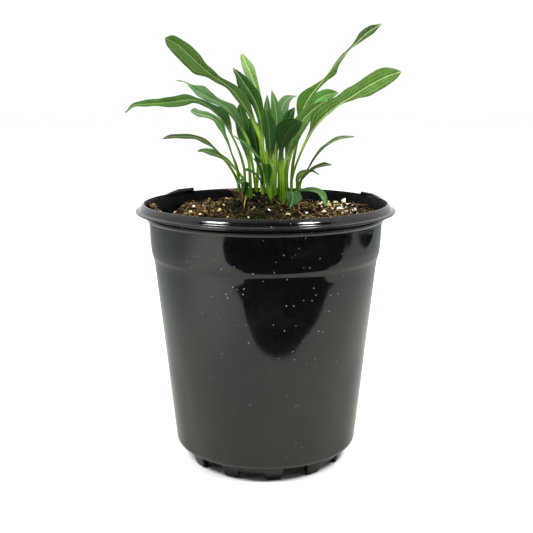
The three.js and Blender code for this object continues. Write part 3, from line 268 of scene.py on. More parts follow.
def colour_setting(name, description, hex_colour):
    """A colour that is given as sRGB hex and kept as linear RGBA."""
    return bpy.props.FloatVectorProperty(
        name=name, description=description, default=linear(hex_colour), size=4,
        subtype="COLOR")


class PotSettings(bpy.types.PropertyGroup):
    height: length_setting("Height", "From the floor to the top of the rim", 167.5)
    foot_count: bpy.props.IntProperty(
        name="Feet", description="Rounded tabs round the foot ring", default=12)
    foot_width: length_setting("Foot width", "Length of a foot round the ring", 12.5)
    plastic: colour_setting("Plastic", "Colour of the moulded plastic", "#08090a")
    dust: colour_setting("Dust", "Colour of the dry soil dust on the rim", "#8d8472")


class MixSettings(bpy.types.PropertyGroup):
    crumbs: bpy.props.IntProperty(
        name="Crumbs", description="Loose crumbs of peat and bark on the surface", default=4200)
    grains: bpy.props.IntProperty(
        name="Perlite grains", description="White grains besides those placed one by one",
        default=170)
    fibres: bpy.props.IntProperty(
        name="Fibres", description="Straws and root hairs on the surface", default=900)
    dark: colour_setting("Peat", "Colour of the damp peat", "#0a0806")
    warm: colour_setting("Bark", "Colour of the composted bark", "#4c3923")


class LeafSettings(bpy.types.PropertyGroup):
    blade_thickness: length_setting(
        "Blade thickness", "Thickness of a blade away from its midrib", 0.5)
    groove: length_setting("Midrib groove", "Depth of the groove over the midrib", 0.45)
    vein_spacing: length_setting(
        "Side vein spacing", "Distance between side veins along the blade", 4.2)
    stalk: colour_setting("Stalk", "Colour of the stalks above the crown", "#7a9a2f")
    stalk_base: colour_setting(
        "Stalk base", "Colour of the stalks where they leave the crown", "#4f7d0c")


class StageSettings(bpy.types.PropertyGroup):
    floor: colour_setting("Floor", "Colour of the floor", "#fafafa")
    sky: bpy.props.FloatProperty(
        name="Sky", description="Strength of the white surroundings", default=1.01)
    room: bpy.props.FloatProperty(
        name="Room", description="Strength of the dim room in front of the pot", default=0.08)
    overhead: bpy.props.FloatProperty(
        name="Overhead light", description="Strength of the wide soft light from above",
        default=1.0)
    softbox_power: bpy.props.FloatProperty(
        name="Softboxes", description="Power of each of the two front softboxes", default=30.0,
        unit="POWER")


# Shapes in millimetres

def spline(points, per_span=40):
    """Dense points on the centripetal Catmull-Rom curve through points.

    On each span the curve is the cubic through its two ends whose end slopes come from the
    neighbouring points, weighted by the square roots of the distances between them."""
    given = np.array(points, float)
    padded = np.vstack([2 * given[0] - given[1], given, 2 * given[-1] - given[-2]])
    gaps = np.maximum(np.linalg.norm(np.diff(padded, axis=0), axis=1) ** 0.5, 1e-4)[:, None]
    d0, d1, d2 = gaps[:-2], gaps[1:-1], gaps[2:]
    p0, p1, p2, p3 = padded[:-3], padded[1:-2], padded[2:-1], padded[3:]
    t1 = ((p1 - p0) / d0 - (p2 - p0) / (d0 + d1) + (p2 - p1) / d1) * d1
    t2 = ((p2 - p1) / d1 - (p3 - p1) / (d1 + d2) + (p3 - p2) / d2) * d1
    u = np.linspace(0, 1, per_span, endpoint=False)[:, None, None]
    dense = (p1 + t1 * u + (3 * (p2 - p1) - 2 * t1 - t2) * u ** 2
             + (2 * (p1 - p2) + t1 + t2) * u ** 3)
    return np.vstack([dense.transpose(1, 0, 2).reshape(-1, 3), given[-1:]])


def evenly(points, count):
    """The polyline resampled to count points at even distances, and its length."""
    run = np.r_[0, np.cumsum(np.linalg.norm(np.diff(points, axis=0), axis=1))]
    at = np.linspace(0, run[-1], count)
    return np.stack([np.interp(at, run, axis) for axis in points.T], -1), run[-1]


def unit(vectors):
    """Each vector divided by its own length."""
    return vectors / np.maximum(np.linalg.norm(vectors, axis=-1, keepdims=True), 1e-9)


def smoothstep(value, low, high):
    """0 below low, 1 above high, and between them three times the square of the share of the
    way less twice its cube."""
    x = np.clip((value - low) / (high - low), 0, 1)
    return x * x * (3 - 2 * x)


def grid_faces(rows, columns, closed=False, first=0):
    """Quads between neighbouring points of a grid that is numbered row by row."""
    across = np.arange(columns if closed else columns - 1)
    i, j = np.meshgrid(np.arange(rows - 1), across, indexing="ij")
    k = (j + 1) % columns
    quads = [i * columns + j, i * columns + k, (i + 1) * columns + k, (i + 1) * columns + j]
    return np.stack(quads, -1).reshape(-1, 4) + first


def lattice_noise(x, y, cell, seed, z=0.0):
    """Smooth noise from -1 to 1: random values on a lattice of cell millimetres, blended by
    smoothsteps between the eight corners round each point."""
    table = np.random.default_rng(seed).uniform(-1, 1, (64, 64, 8))
    position = np.stack(np.broadcast_arrays(x / cell, y / cell, np.asarray(z) / cell), -1)
    corner = np.floor(position).astype(int)
    f = position - corner
    f = f * f * (3 - 2 * f)
    total = 0.0
    for dx in (0, 1):
        for dy in (0, 1):
            for dz in (0, 1):
                weight = ((f[..., 0] if dx else 1 - f[..., 0])
                          * (f[..., 1] if dy else 1 - f[..., 1])
                          * (f[..., 2] if dz else 1 - f[..., 2]))
                value = table[(corner[..., 0] + dx) % 64, (corner[..., 1] + dy) % 64,
                              (corner[..., 2] + dz) % 8]
                total = total + weight * value
    return total


def filleted(corners, steps=5):
    """A profile with its corners rounded: each corner, given as (radius, height, fillet), is
    replaced by the quadratic arc that leaves one side and meets the other at the same distance
    from the corner."""
    given = np.array(corners, float)
    line = [given[:1, :2]]
    for before, here, after in zip(given[:-2], given[1:-1], given[2:]):
        to_before, to_after = before[:2] - here[:2], after[:2] - here[:2]
        reach = min(here[2], 0.45 * np.linalg.norm(to_before), 0.45 * np.linalg.norm(to_after))
        if reach < 0.02:
            line.append(here[None, :2])
            continue
        start = here[:2] + unit(to_before) * reach
        end = here[:2] + unit(to_after) * reach
        u = np.linspace(0, 1, steps)[:, None]
        line.append((1 - u) ** 2 * start + 2 * u * (1 - u) * here[:2] + u ** 2 * end)
    line.append(given[-1:, :2])
    return np.vstack(line)


def turned(profile, sides):
    """A profile of radius and height turned once round +Z, as a grid of profile rows."""
    angle = np.linspace(0, 2 * np.pi, sides, endpoint=False)
    radius, height = profile[:, :1], profile[:, 1:]
    return np.stack([radius * np.cos(angle), radius * np.sin(angle),
                     np.broadcast_to(height, (len(profile), sides))], -1)


# Meshes and nodes

def in_scene(name, data):
    """A new object with this data, in the scene."""
    thing = bpy.data.objects.new(name, data)
    bpy.context.scene.collection.objects.link(thing)
    return thing


def turned_over(faces):
    """The same faces, looking the other way."""
    return [np.asarray(group)[:, ::-1] for group in faces]


def new_piece(name, points, faces, material, smooth=True, uv=None, layers=None, colours=None):
    """Puts points, in millimetres, and faces into a new object at the origin. layers are
    numbers for each point, colours are linear RGBA for each point, and uv is two numbers."""
    mesh = bpy.data.meshes.new(name)
    mesh.from_pydata((np.asarray(points).reshape(-1, 3) * MM).tolist(), [],
                     [face for group in faces for face in np.asarray(group).tolist()])
    if uv is not None:
        corner = np.empty(len(mesh.loops), np.int32)
        mesh.loops.foreach_get("vertex_index", corner)
        mesh.uv_layers.new(name="UVMap").data.foreach_set(
            "uv", np.asarray(uv, np.float32).reshape(-1, 2)[corner].ravel())
    for key, values in (layers or {}).items():
        layer = mesh.attributes.new(key, "FLOAT", "POINT")
        layer.data.foreach_set("value", np.asarray(values, np.float32).ravel())
    if colours is not None:
        layer = mesh.attributes.new("tone", "FLOAT_COLOR", "POINT")
        layer.data.foreach_set("color", np.asarray(colours, np.float32).ravel())
    mesh.polygons.foreach_set("use_smooth", np.full(len(mesh.polygons), smooth))
    mesh.materials.append(material)
    mesh.update()
    return in_scene(name, mesh)


def settle(piece, slot, *nodes):
    """Fixes a piece to the body, in the place of its CAD nodes, which it hides; the slot is not
    used.
    """
    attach(piece, "root")
    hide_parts(*nodes)


# For each kind of node that is called with a word, the setting that the word chooses.
WORD_SETTING = {
    "Attribute": "attribute_name", "MapRange": "interpolation_type", "Math": "operation",
    "TexVoronoi": "feature", "VectorMath": "operation",
}
# A Mix node of two colours: the numbers of its share and colours, and of its mixed colour.
COLOURS = dict(data_type="RGBA", at=(0, 6, 7), out=2)


def add_node(tree, kind, *values, at=None, out=0, **named):
    """Adds a node and returns one of its outputs. The values fill or link its inputs in order,
    or the inputs that at numbers, after a word for its setting if there is one. Of the names,
    capitalised ones are inputs, with _ for a space, and the others are settings."""
    node = tree.nodes.new("ShaderNode" + kind)
    if values and isinstance(values[0], str):
        setattr(node, WORD_SETTING[kind], values[0])
        values = values[1:]
    inputs = dict(zip(at or range(len(values)), values))
    for key, value in named.items():
        if key[0].isupper():
            inputs[key.replace("_", " ")] = value
        else:
            setattr(node, key, value)
    for key, value in inputs.items():
        if isinstance(value, bpy.types.NodeSocket):
            tree.links.new(value, node.inputs[key])
        else:
            node.inputs[key].default_value = value
    return node.outputs[out]


def new_material(name):
    """An empty material, and add_node for its nodes."""
    material = bpy.data.materials.new(name)
    material.use_nodes = True
    material.node_tree.nodes.clear()
    return material, functools.partial(add_node, material.node_tree)


def surfaced(material, node, **sockets):
    """Gives a material one Principled surface, whose sockets are set or linked."""
    tree = material.node_tree
    end = tree.nodes.new("ShaderNodeOutputMaterial")
    tree.links.new(node("BsdfPrincipled", Metallic=0.0, **sockets), end.inputs["Surface"])
    return material


# Materials

def moulded_polypropylene(settings):
    """Injection-moulded black polypropylene: glossy, with the faint orange peel of the mould and
    scuffs a few millimetres long; pale dust on the rim, and a dull film of peat inside."""
    name = "moulded_black_polypropylene"
    if name in bpy.data.materials:
        return bpy.data.materials[name]
    material, node = new_material(name)
    place = node("TexCoord", out="Object")
    smear = node("TexNoise", Vector=node("VectorMath", "MULTIPLY", place, (1, 1, 0.25)),
                 Scale=1 / (9 * MM), Detail=4.0, Distortion=0.6)
    # Dust specks a few tenths of a millimetre wide, 3.6 mm apart, thickest on the front.
    specks = node("TexVoronoi", Vector=place, Scale=1 / (3.6 * MM))
    front = node("VectorMath", "DISTANCE", place, (8 * MM, -72 * MM, 122 * MM), out="Value")
    reach = node("MapRange", front, 30 * MM, 55 * MM, 0.075, 0.035)
    dot = node("MapRange", specks, 0.02, reach, 1.0, 0.0)
    # Dust lies thickest on the rim and on the inside of the mouth, and fingers have left faint
    # smudges of it on the wall, a few centimetres across.
    high = node("MapRange", node("SeparateXYZ", place, out="Z"), 150 * MM, 167 * MM)
    film = node("Math", "MULTIPLY", node("MapRange", smear, 0.55, 0.85, 0.0, 0.08), high)
    smudges = node("TexNoise", Vector=place, Scale=1 / (26 * MM), Detail=6.0, Roughness=0.72)
    film = node("Math", "MAXIMUM", film, node("MapRange", smudges, 0.5, 0.72, 0.0, 0.018))
    dusty = node("Mix", film, settings.plastic[:], settings.dust[:], **COLOURS)
    rough = node("MapRange", smear, 0.3, 0.75, 0.05, 0.1)
    inside = node("Attribute", "inside", out="Fac")
    # Mould lines round the rim are under a millimetre apart, a thin wall has waves of 40 mm,
    # and the mould leaves ripples of 1.6 mm.
    rings = node("TexNoise", Vector=node("VectorMath", "MULTIPLY", place, (0.06, 0.06, 1)),
                 Scale=1 / (0.9 * MM), Detail=2.0)
    relief = node("Bump", Height=node("Math", "MULTIPLY", rings, high), Strength=0.5,
                  Distance=0.12 * MM)
    for wide, detail, deep in ((40, 1.0, 0.8), (1.6, 2.0, 0.03)):
        ripple = node("TexNoise", Vector=place, Scale=1 / (wide * MM), Detail=detail)
        relief = node("Bump", Height=ripple, Strength=0.25, Distance=deep * MM, Normal=relief)
    return surfaced(
        material, node, IOR=1.49, Normal=relief,
        Base_Color=node("Mix", dot, dusty, linear("#f2f0ea"), **COLOURS),
        Roughness=node("Math", "MULTIPLY_ADD", inside, 0.35, rough),
        Specular_IOR_Level=node("Math", "MULTIPLY_ADD", inside, -0.46, 0.5))


def damp_potting_mix(settings):
    """Damp peat and composted bark: near black, broken by brown fibres and a green film, with the
    wall's shadow painted along the left wall.
    """
    material, node = new_material("damp_potting_mix")
    place = node("TexCoord", out="Object")
    # Crumbs of 1.8 mm take one shade each, under a noise with grains of 0.9 mm and finer.
    crumbs = node("TexVoronoi", Vector=place, Scale=1 / (1.8 * MM), out="Color")
    fine = node("TexNoise", Vector=place, Scale=1 / (0.9 * MM), Detail=5.0, Roughness=0.7)
    broad = node("TexNoise", Vector=place, Scale=1 / (16 * MM), Detail=2.0)
    blend = node("Math", "ADD", node("Math", "MULTIPLY", node("SeparateColor", crumbs), fine),
                 node("Math", "MULTIPLY_ADD", broad, 0.9, -0.25))
    colour = node("Mix", node("MapRange", blend, 0.36, 0.7), settings.dark[:],
                  settings.warm[:], **COLOURS)
    # The middle of the front is grown over with a thin dark green film.
    middle = node("VectorMath", "DISTANCE", place, (-8 * MM, -14 * MM, 163 * MM), out="Value")
    film = node("Math", "MULTIPLY", node("MapRange", middle, 16 * MM, 40 * MM, 1.1, 0.0), fine)
    colour = node("Mix", film, colour, linear("#141d0a"), **COLOURS)
    # Painted shade: the sunken place along the left wall is darkened to nearly black, for the
    # wall's shadow.
    wall_shade = node("MapRange", node("SeparateXYZ", place, out="X"), -66 * MM, -56 * MM, 0.2)
    return surfaced(
        material, node, Base_Color=node("VectorMath", "MULTIPLY", colour, wall_shade), Roughness=0.95,
        IOR=1.4, Specular_IOR_Level=0.0,
        Normal=node("Bump", Height=fine, Strength=0.9, Distance=0.5 * MM))


def loose_matter(name, grain, rough):
    """Crumbs, bark, perlite or straw: each grain has its own colour, in the tone attribute, and
    its surface is broken by pits of the given size in millimetres."""
    material, node = new_material(name)
    pits = node("TexNoise", Vector=node("TexCoord", out="Object"), Scale=1 / (grain * MM),
                Detail=4.0, Roughness=0.65)
    shade = node("MapRange", pits, 0.35, 0.6, 0.55, 1.1)
    return surfaced(
        material, node, Roughness=rough, IOR=1.45, Specular_IOR_Level=0.15,
        Base_Color=node("VectorMath", "MULTIPLY", node("Attribute", "tone"), shade),
        Normal=node("Bump", Height=pits, Strength=0.7, Distance=0.25 * MM))


def dry_tissue(name):
    """Papery dead leaf tissue and old crown: matt, streaked along the grain every 0.8 mm."""
    material, node = new_material(name)
    drawn = node("VectorMath", "MULTIPLY", node("TexCoord", out="Object"), (1, 1, 0.3))
    grain = node("TexNoise", Vector=drawn, Scale=1 / (0.8 * MM), Detail=5.0)
    shade = node("MapRange", grain, 0.3, 0.65, 0.5, 1.25)
    return surfaced(
        material, node, Roughness=0.85, IOR=1.45, Specular_IOR_Level=0.2,
        Base_Color=node("VectorMath", "MULTIPLY", node("Attribute", "tone"), shade),
        Normal=node("Bump", Height=grain, Strength=0.8, Distance=0.4 * MM))


def living_leaf(name, settings, rough, vein_light, sheen):
    """A hairy leaf blade: satin, with a sunken pale midrib, long side nerves that run with the
    margin, finer veins that leave them at a slant, and a paler underside."""
    material, node = new_material(name)
    place = node("TexCoord", out="Object")
    tone = node("Attribute", "tone")
    blade, along, across, offset, under, veining = (
        node("Attribute", key, out="Fac")
        for key in ("blade", "along", "across", "offset", "under", "veining"))
    across, offset = (node("Math", "ABSOLUTE", value) for value in (across, offset))
    wander = node("TexNoise", Vector=place, Scale=1 / (5 * MM), Detail=2.0)
    # Values that swing between 0 and 0.5, and are 0 along nerves at one third and two thirds of
    # the way to the margin, side veins that slant towards the tip, and the stalk's furrows, whose
    # shade is painted.
    slant = node("Math", "MULTIPLY_ADD", wander, 2.4 * MM,
                 node("Math", "MULTIPLY_ADD", offset, -1.7, along))
    nerves, sides, furrow_shade = (node("Math", "PINGPONG", value, 0.5) for value in (
        node("Math", "MULTIPLY_ADD", wander, 0.12, node("Math", "MULTIPLY", across, 2.9)),
        node("Math", "DIVIDE", slant, settings.vein_spacing),
        node("Math", "MULTIPLY_ADD", wander, 0.5, node("Math", "MULTIPLY", across, 1.9))))
    # The net between the veins has meshes of 1.3 mm.
    net = node("TexVoronoi", "DISTANCE_TO_EDGE", Vector=place, Scale=1 / (1.3 * MM))
    # A line is 1 where its value is 0, and fades out at its width.
    midrib, nerves, sides, net, furrow_shade = (
        node("MapRange", "SMOOTHSTEP", value, 0.0, width, 1.0, 0.0) for value, width in (
            (offset, 0.6 * MM), (nerves, 0.1), (sides, 0.12), (net, 0.12), (furrow_shade, 0.3)))
    veins = midrib
    for line, weight in ((nerves, 0.4), (sides, 0.22), (net, 0.07)):
        veins = node("Math", "MAXIMUM", veins, node("Math", "MULTIPLY", line, weight))
    veins = node("Math", "MULTIPLY", veins, blade)
    light = node("Mix", 0.65, tone, linear("#c0d68c"), **COLOURS)
    shown = node("Math", "MULTIPLY", veins, node("Math", "MULTIPLY", veining, vein_light))
    colour = node("Mix", shown, tone, light, **COLOURS)
    mottle = node("TexNoise", Vector=place, Scale=1 / (7 * MM), Detail=5.0, Roughness=0.6)
    colour = node("VectorMath", "MULTIPLY", colour,
                  node("MapRange", mottle, 0.3, 0.7, 0.84, 1.16))
    pale = node("Math", "MULTIPLY", under, node("Math", "MULTIPLY", blade, 0.04))
    colour = node("Mix", pale, colour, linear("#93a77c"), **COLOURS)
    # Painted shade: the furrows between a stalk's strands are darkened, so the strands show paler.
    furrow_shade = node("Math", "MULTIPLY", node("Math", "SUBTRACT", 1.0, blade), furrow_shade)
    colour = node("Mix", furrow_shade, colour, linear("#86a048"), blend_type="MULTIPLY", **COLOURS)
    puckers = node("TexNoise", Vector=place, Scale=1 / (2.2 * MM), Detail=1.0)
    relief = node("Math", "MULTIPLY_ADD", veins, -1.0,
                  node("Math", "MULTIPLY", puckers, 1.2))
    return surfaced(
        material, node, Base_Color=colour, Roughness=rough, IOR=1.42, Sheen_Weight=sheen,
        Sheen_Roughness=0.5, Specular_IOR_Level=0.1,
        Normal=node("Bump", Height=relief, Strength=0.5, Distance=0.2 * MM))


# The pot

POT_SIDES = 288
FOOT_RING = 54.1
FOOT_HEIGHT = 9.0
FLOOR_TOP = 10.8
FLOOR_THICK = 1.8
FLOOR_EDGE = 51.5
FOOT_LEAN = 2.6
FOOT_DEPTH = 3.4
FOOT_PHASE = math.radians(5.5)
SKIRT_EDGE = 4.4
MOUTH = 76.9
USUAL_TOP = 167.5
INNER_WALL = [(74.1, 158.3), (72.2, 141.5), (69.65, 127), (58.1, 14.5), (52.8, FLOOR_TOP)]
# Twelve holes in the floor: the radii of their ends, and half their width.
DRAIN = (41.0, 50.0, 5.25)
# Where the steep end of each tab is, in degrees, the way it runs, and its height.
GRIP_TABS = [(41.5, 1, 2.4), (-58.5, -1, 1.7)]
GRIP_SPAN = 19.5


def pot_profile(top):
    """The wall's section as radius and height: out along the floor, up the tapered wall, over
    the ledge, the flange and the rim, and down the inside. The corner above the feet is a
    quarter ellipse; on the shoulder a narrow smoothstep stands within a wide one."""
    turn = np.linspace(0, np.pi / 2, 10)
    corner = np.stack([FOOT_RING + 5.3 * np.sin(turn),
                       FOOT_HEIGHT + 4.5 * (1 - np.cos(turn)), 0 * turn], -1)
    z = np.linspace(0, 14.5, 37)
    step = 0.72 * smoothstep(z, 0, 14.5) + 0.43 * smoothstep(z, 5.4, 9.0)
    shoulder = np.stack([70.95 + 0.0968 * z + step, top - 40.5 + z, 0 * z], -1)
    # Rows crowd towards the ends of the two long cones, so that each is shaded as a cone.
    crowded = smoothstep(np.linspace(0, 1, 14)[1:-1, None], 0, 1)
    taper = corner[-1] + crowded * (shoulder[0] - corner[-1])
    band = shoulder[-1] + crowded * ((75, top - 10.5, 0) - shoulder[-1])
    over = np.array([
        (75, -10.5, 0.4), (76.2, -9.3, 0.4), (76.2, -8, 0.4), (74.8, -7.7, 0.4),
        (75.2, -5.4, 0.3), (82.5, -5.4, 0.35), (82.5, -4.4, 0.35), (80.1, -3.8, 0.5),
        (79.6, -2.2, 1.0), (77.6, 0, 0.8), (MOUTH, 0, 0.5), (76.1, -1.4, 0.5)]) + (0, top, 0)
    inner = np.array([(r, z + (top - USUAL_TOP if z > 100 else 0), 2.0) for r, z in INNER_WALL])
    start = np.array([(50.5, FOOT_HEIGHT, 0.0), (53.0, FOOT_HEIGHT, 0.0)])
    end = np.array([(50.5, FLOOR_TOP, 0.0)])
    return filleted(np.vstack([start, corner, taper, shoulder, band, over, inner, end]))


def rounded_section(width, low, high, radius, steps=5):
    """Closed rounded rectangles, one for each station, as a grid of (depth, height): four
    quarter circles whose centres stand in from the corners by the radius."""
    low, high = np.broadcast_arrays(np.asarray(low, float), np.asarray(high, float))
    r = np.minimum(radius, 0.48 * np.minimum(width, high - low))[:, None]
    turn = np.linspace(0, np.pi / 2, steps)
    parts = []
    for quarter, (d, z) in enumerate([(width, high[:, None]), (0, high[:, None]),
                                      (0, low[:, None]), (width, low[:, None])]):
        a = turn + quarter * np.pi / 2
        centre_d = d - r if d else r
        centre_z = z - r if quarter < 2 else z + r
        parts.append(np.stack([centre_d + r * np.cos(a), centre_z + r * np.sin(a)], -1))
    return np.concatenate(parts, 1)


def capped_sweep(points):
    """Faces of a closed tube whose rings are the rows of points, with fans over both ends."""
    rows, columns = points.shape[:2]
    centres = np.stack([points[0].mean(0), points[-1].mean(0)])
    near, far = rows * columns, rows * columns + 1
    j = np.arange(columns)
    k = (j + 1) % columns
    last = (rows - 1) * columns
    return (np.vstack([points.reshape(-1, 3), centres]),
            [grid_faces(rows, columns, closed=True),
             np.stack([k, j, np.full(columns, near)], -1),
             np.stack([last + j, last + k, np.full(columns, far)], -1)])


def joined(parts):
    """Point and face lists of several parts as one."""
    points, faces, first = [], [], 0
    for part_points, part_faces in parts:
        points.append(part_points)
        faces += [np.asarray(group) + first for group in part_faces]
        first += len(part_points)
    return np.vstack(points), faces


def curtain(angle, half, inset, lower_edge, stations=25):
    """A stretch of the foot ring. Its section is a rounded rectangle from lower_edge, a function
    of the share of the half width, up into the floor; its outer face leans in with the wall."""
    share = np.linspace(-1, 1, stations)
    section = rounded_section(FOOT_DEPTH - 2 * inset, lower_edge(np.abs(share)),
                              FOOT_HEIGHT + 0.9, 0.9)
    z = section[..., 1]
    radius = FOOT_RING - FOOT_LEAN * (1 - z / FOOT_HEIGHT) - FOOT_DEPTH + inset + section[..., 0]
    turn = (angle + share * half / FOOT_RING)[:, None]
    return capped_sweep(np.stack([radius * np.sin(turn), -radius * np.cos(turn), z], -1))


def floor_plate():
    """The floor as a flat polar grid with its drain holes left out; the pot wall operator thickens
    it.
    """
    near, far, half = DRAIN
    radius = np.r_[np.linspace(0.01, near, 12), np.linspace(near, far, 9)[1:], FLOOR_EDGE]
    angle = np.linspace(0, 2 * np.pi, POT_SIDES, endpoint=False)
    ring, turn = np.meshgrid(radius, angle, indexing="ij")
    height = FLOOR_TOP - FLOOR_THICK / 2
    flat = np.stack([ring * np.cos(turn), ring * np.sin(turn), 0 * ring + height], -1)
    flat = flat.reshape(-1, 3)
    quads = grid_faces(len(radius), POT_SIDES, closed=True)
    x, y = flat[quads].mean(1)[:, :2].T
    reach = np.hypot(x, y)
    step = np.pi / 6
    off = (np.arctan2(x, -y) - FOOT_PHASE + step / 2) % (2 * step) - step
    hole = (reach > near) & (reach < far) & (np.abs(off * reach) < half)
    return flat, [quads[~hole][:, ::-1]]


class CONEFLOWER_OT_pot_wall(bpy.types.Operator):
    """The tapered wall, the ledge, the flange, the rim and the drained floor of the pot"""
    bl_idname = "coneflower.pot_wall"
    bl_label = "Pot wall"

    def execute(self, context):
        settings = context.scene.coneflower_pot
        plastic = moulded_polypropylene(settings)
        profile = pot_profile(settings.height / MM)
        rows = len(profile)
        lip = np.flatnonzero(profile[:, 1] > profile[:, 1].max() - 0.01)[-1]
        inside = np.repeat(np.arange(rows) > lip, POT_SIDES)
        faces = grid_faces(rows, POT_SIDES, closed=True)[:, ::-1]
        wall = new_piece("pot_wall", turned(profile, POT_SIDES), [faces], plastic,
                         layers={"inside": inside})
        floor = new_piece("pot_floor", *floor_plate(), plastic, smooth=False)
        thick = floor.modifiers.new("plate", "SOLIDIFY")
        thick.thickness = FLOOR_THICK * MM
        thick.offset = 0.0
        for piece in (wall, floor):
            settle(piece, "pot_plastic", "pot")
        return {"FINISHED"}


class CONEFLOWER_OT_pot_feet(bpy.types.Operator):
    """The rounded feet under the pot, and the skirts that close every other gap"""
    bl_idname = "coneflower.pot_feet"
    bl_label = "Pot feet"

    def execute(self, context):
        settings = context.scene.coneflower_pot
        plastic = moulded_polypropylene(settings)
        count = settings.foot_count
        half = settings.foot_width / MM / 2
        feet, skirts = [], []
        for index in range(count):
            angle = FOOT_PHASE + index * 2 * math.pi / count
            feet.append(curtain(angle, half, 0.0,
                                lambda share: FOOT_HEIGHT * np.maximum(0, 2 * share - 1) ** 3))
            if index % 2:
                gap = angle + math.pi / count
                skirts.append(curtain(gap, math.pi * FOOT_RING / count, 0.5,
                                      lambda share: SKIRT_EDGE + 0 * share, 13))
        for name, parts in (("pot_feet", feet), ("pot_skirts", skirts)):
            settle(new_piece(name, *joined(parts), plastic), "pot_plastic", "pot")
        return {"FINISHED"}


class CONEFLOWER_OT_grip_tabs(bpy.types.Operator):
    """The two low ridges on the back of the rim, steep at one end and run out at the other"""
    bl_idname = "coneflower.grip_tabs"
    bl_label = "Grip tabs"

    def execute(self, context):
        settings = context.scene.coneflower_pot
        top = settings.height / MM
        parts = []
        for steep_end, runs, height in GRIP_TABS:
            share = np.linspace(0, 1, 33)[::runs]
            turn = np.radians(steep_end + runs * GRIP_SPAN * share)[:, None]
            rise = height * np.minimum(1, 0.1 + 1.8 * (1 - share))
            section = rounded_section(2.1, top - 2 + 0 * rise, top + rise, 0.55)
            radius = MOUTH - 0.9 + section[..., 0]
            points = np.stack([-radius * np.sin(turn), radius * np.cos(turn), section[..., 1]], -1)
            parts.append(capped_sweep(points))
        plastic = moulded_polypropylene(settings)
        settle(new_piece("grip_tabs", *joined(parts), plastic), "pot_plastic", "pot")
        return {"FINISHED"}


# The potting mix

MIX_LEVEL = 159.5
MOUND = 9.5
# The radius of the mix's top, and of the circle that whole grains lie in.
MIX_EDGE = 72.6
GRAIN_EDGE = 69
# The mix's side below its surface, and its underside: radius and height.
MIX_WALL = [(71.9, 141.5), (69.35, 127), (57.8, 14.5), (52.5, 11.1), (26.0, 11.1)]
# Grains of perlite with a place of their own: x, y and size.
PLACED_GRAINS = [
    (-47.4, -7.8, 3.0), (-35.6, 32.8, 2.6), (-28.5, -18.5, 3.4), (-27.6, 46.0, 2.2),
    (2.1, -28.0, 2.3), (13.6, -29.8, 3.6), (36.8, 58.0, 4.2), (48.4, 52.0, 3.6),
    (53.6, 40.0, 4.6), (36.3, -16.8, 3.4), (47.3, 7.0, 3.4), (55.9, 19.8, 3.0),
    (41.9, 18.5, 3.2), (57.8, 5.2, 2.8), (51.3, 4.5, 2.6), (36.1, 21.0, 3.0),
    (-10.5, -33.0, 1.6), (-40.7, -18.0, 1.6), (25.0, -28.0, 1.8),
]
# Straws that stand out, one upright and three that lean on the crown: the start of each, its
# heading in degrees, its length, width, bend and rise, and its colour.
STRAWS = [
    (19.6, -33.0, 161.0, 86, 11.5, 0.42, 0.1, 0.75, "#a8703c"),
    (-10.4, -26.5, 165.4, 61, 16.0, 0.45, 0.25, 0.36, "#b09a70"),
    (-13.2, -22.0, 166.3, 79, 5.5, 0.34, -0.4, 1.2, "#a89a52"),
    (10.7, -20.5, 167.2, 140, 9.6, 0.42, 0.3, 0.56, "#6d5538"),
]


def mix_height(x, y):
    """Height of the mix: an even edge, a mound over the crown, two slow rings of lumps, and a
    sunken place along the left wall."""
    radius, turn = np.hypot(x, y), np.arctan2(y, x)
    mound = MOUND * np.exp(-((radius / 33) ** 2.2))
    lumps = 0.8 * np.sin(3 * turn + radius / 9) + 0.5 * np.sin(7 * turn - radius / 5)
    sunken = 4.0 * smoothstep(-x, 52, 62)
    return MIX_LEVEL + mound + lumps * np.minimum(1, radius / 30) - sunken


def mix_relief(x, y):
    """The mix's crumbs over its height: noise with cells of 9 millimetres, and folded noise with
    cells of 4 and 1.5 millimetres, all of it weaker at the edge."""
    inside = 1 - smoothstep(np.hypot(x, y), 67, 73)
    clods = 1.3 * lattice_noise(x, y, 9, 3)
    crumbs = 1.5 * (0.5 - np.abs(lattice_noise(x, y, 4, 5)))
    fines = 1.3 * (0.4 - np.abs(lattice_noise(x, y, 1.5, 7)))
    return mix_height(x, y) + (clods + crumbs + fines) * (0.25 + 0.75 * inside)


def scatter(random, count, low, high):
    """Seeded places on the mix between two radii, even over the area."""
    radius = np.sqrt(random.uniform(low ** 2, high ** 2, count))
    turn = random.uniform(0, 2 * np.pi, count)
    return radius * np.cos(turn), radius * np.sin(turn)


def pebble():
    """A round lump of 18 points and 32 faces: an octahedron split once and pushed to a sphere."""
    axes = np.array([(1, 0, 0), (-1, 0, 0), (0, 1, 0), (0, -1, 0), (0, 0, 1), (0, 0, -1)], float)
    faces, points, known = [], axes.tolist(), {}
    for sx in (0, 1):
        for sy in (2, 3):
            for sz in (4, 5):
                corner = [sx, sy, sz] if (sx + sy + sz) % 2 == 0 else [sy, sx, sz]
                middle = []
                for a, b in ((0, 1), (1, 2), (2, 0)):
                    key = tuple(sorted((corner[a], corner[b])))
                    if key not in known:
                        known[key] = len(points)
                        points.append(unit(axes[key[0]] + axes[key[1]]).tolist())
                    middle.append(known[key])
                faces += [(corner[0], middle[0], middle[2]), (middle[0], corner[1], middle[1]),
                          (middle[2], middle[1], corner[2]), tuple(middle)]
    return np.array(points), np.array(faces)


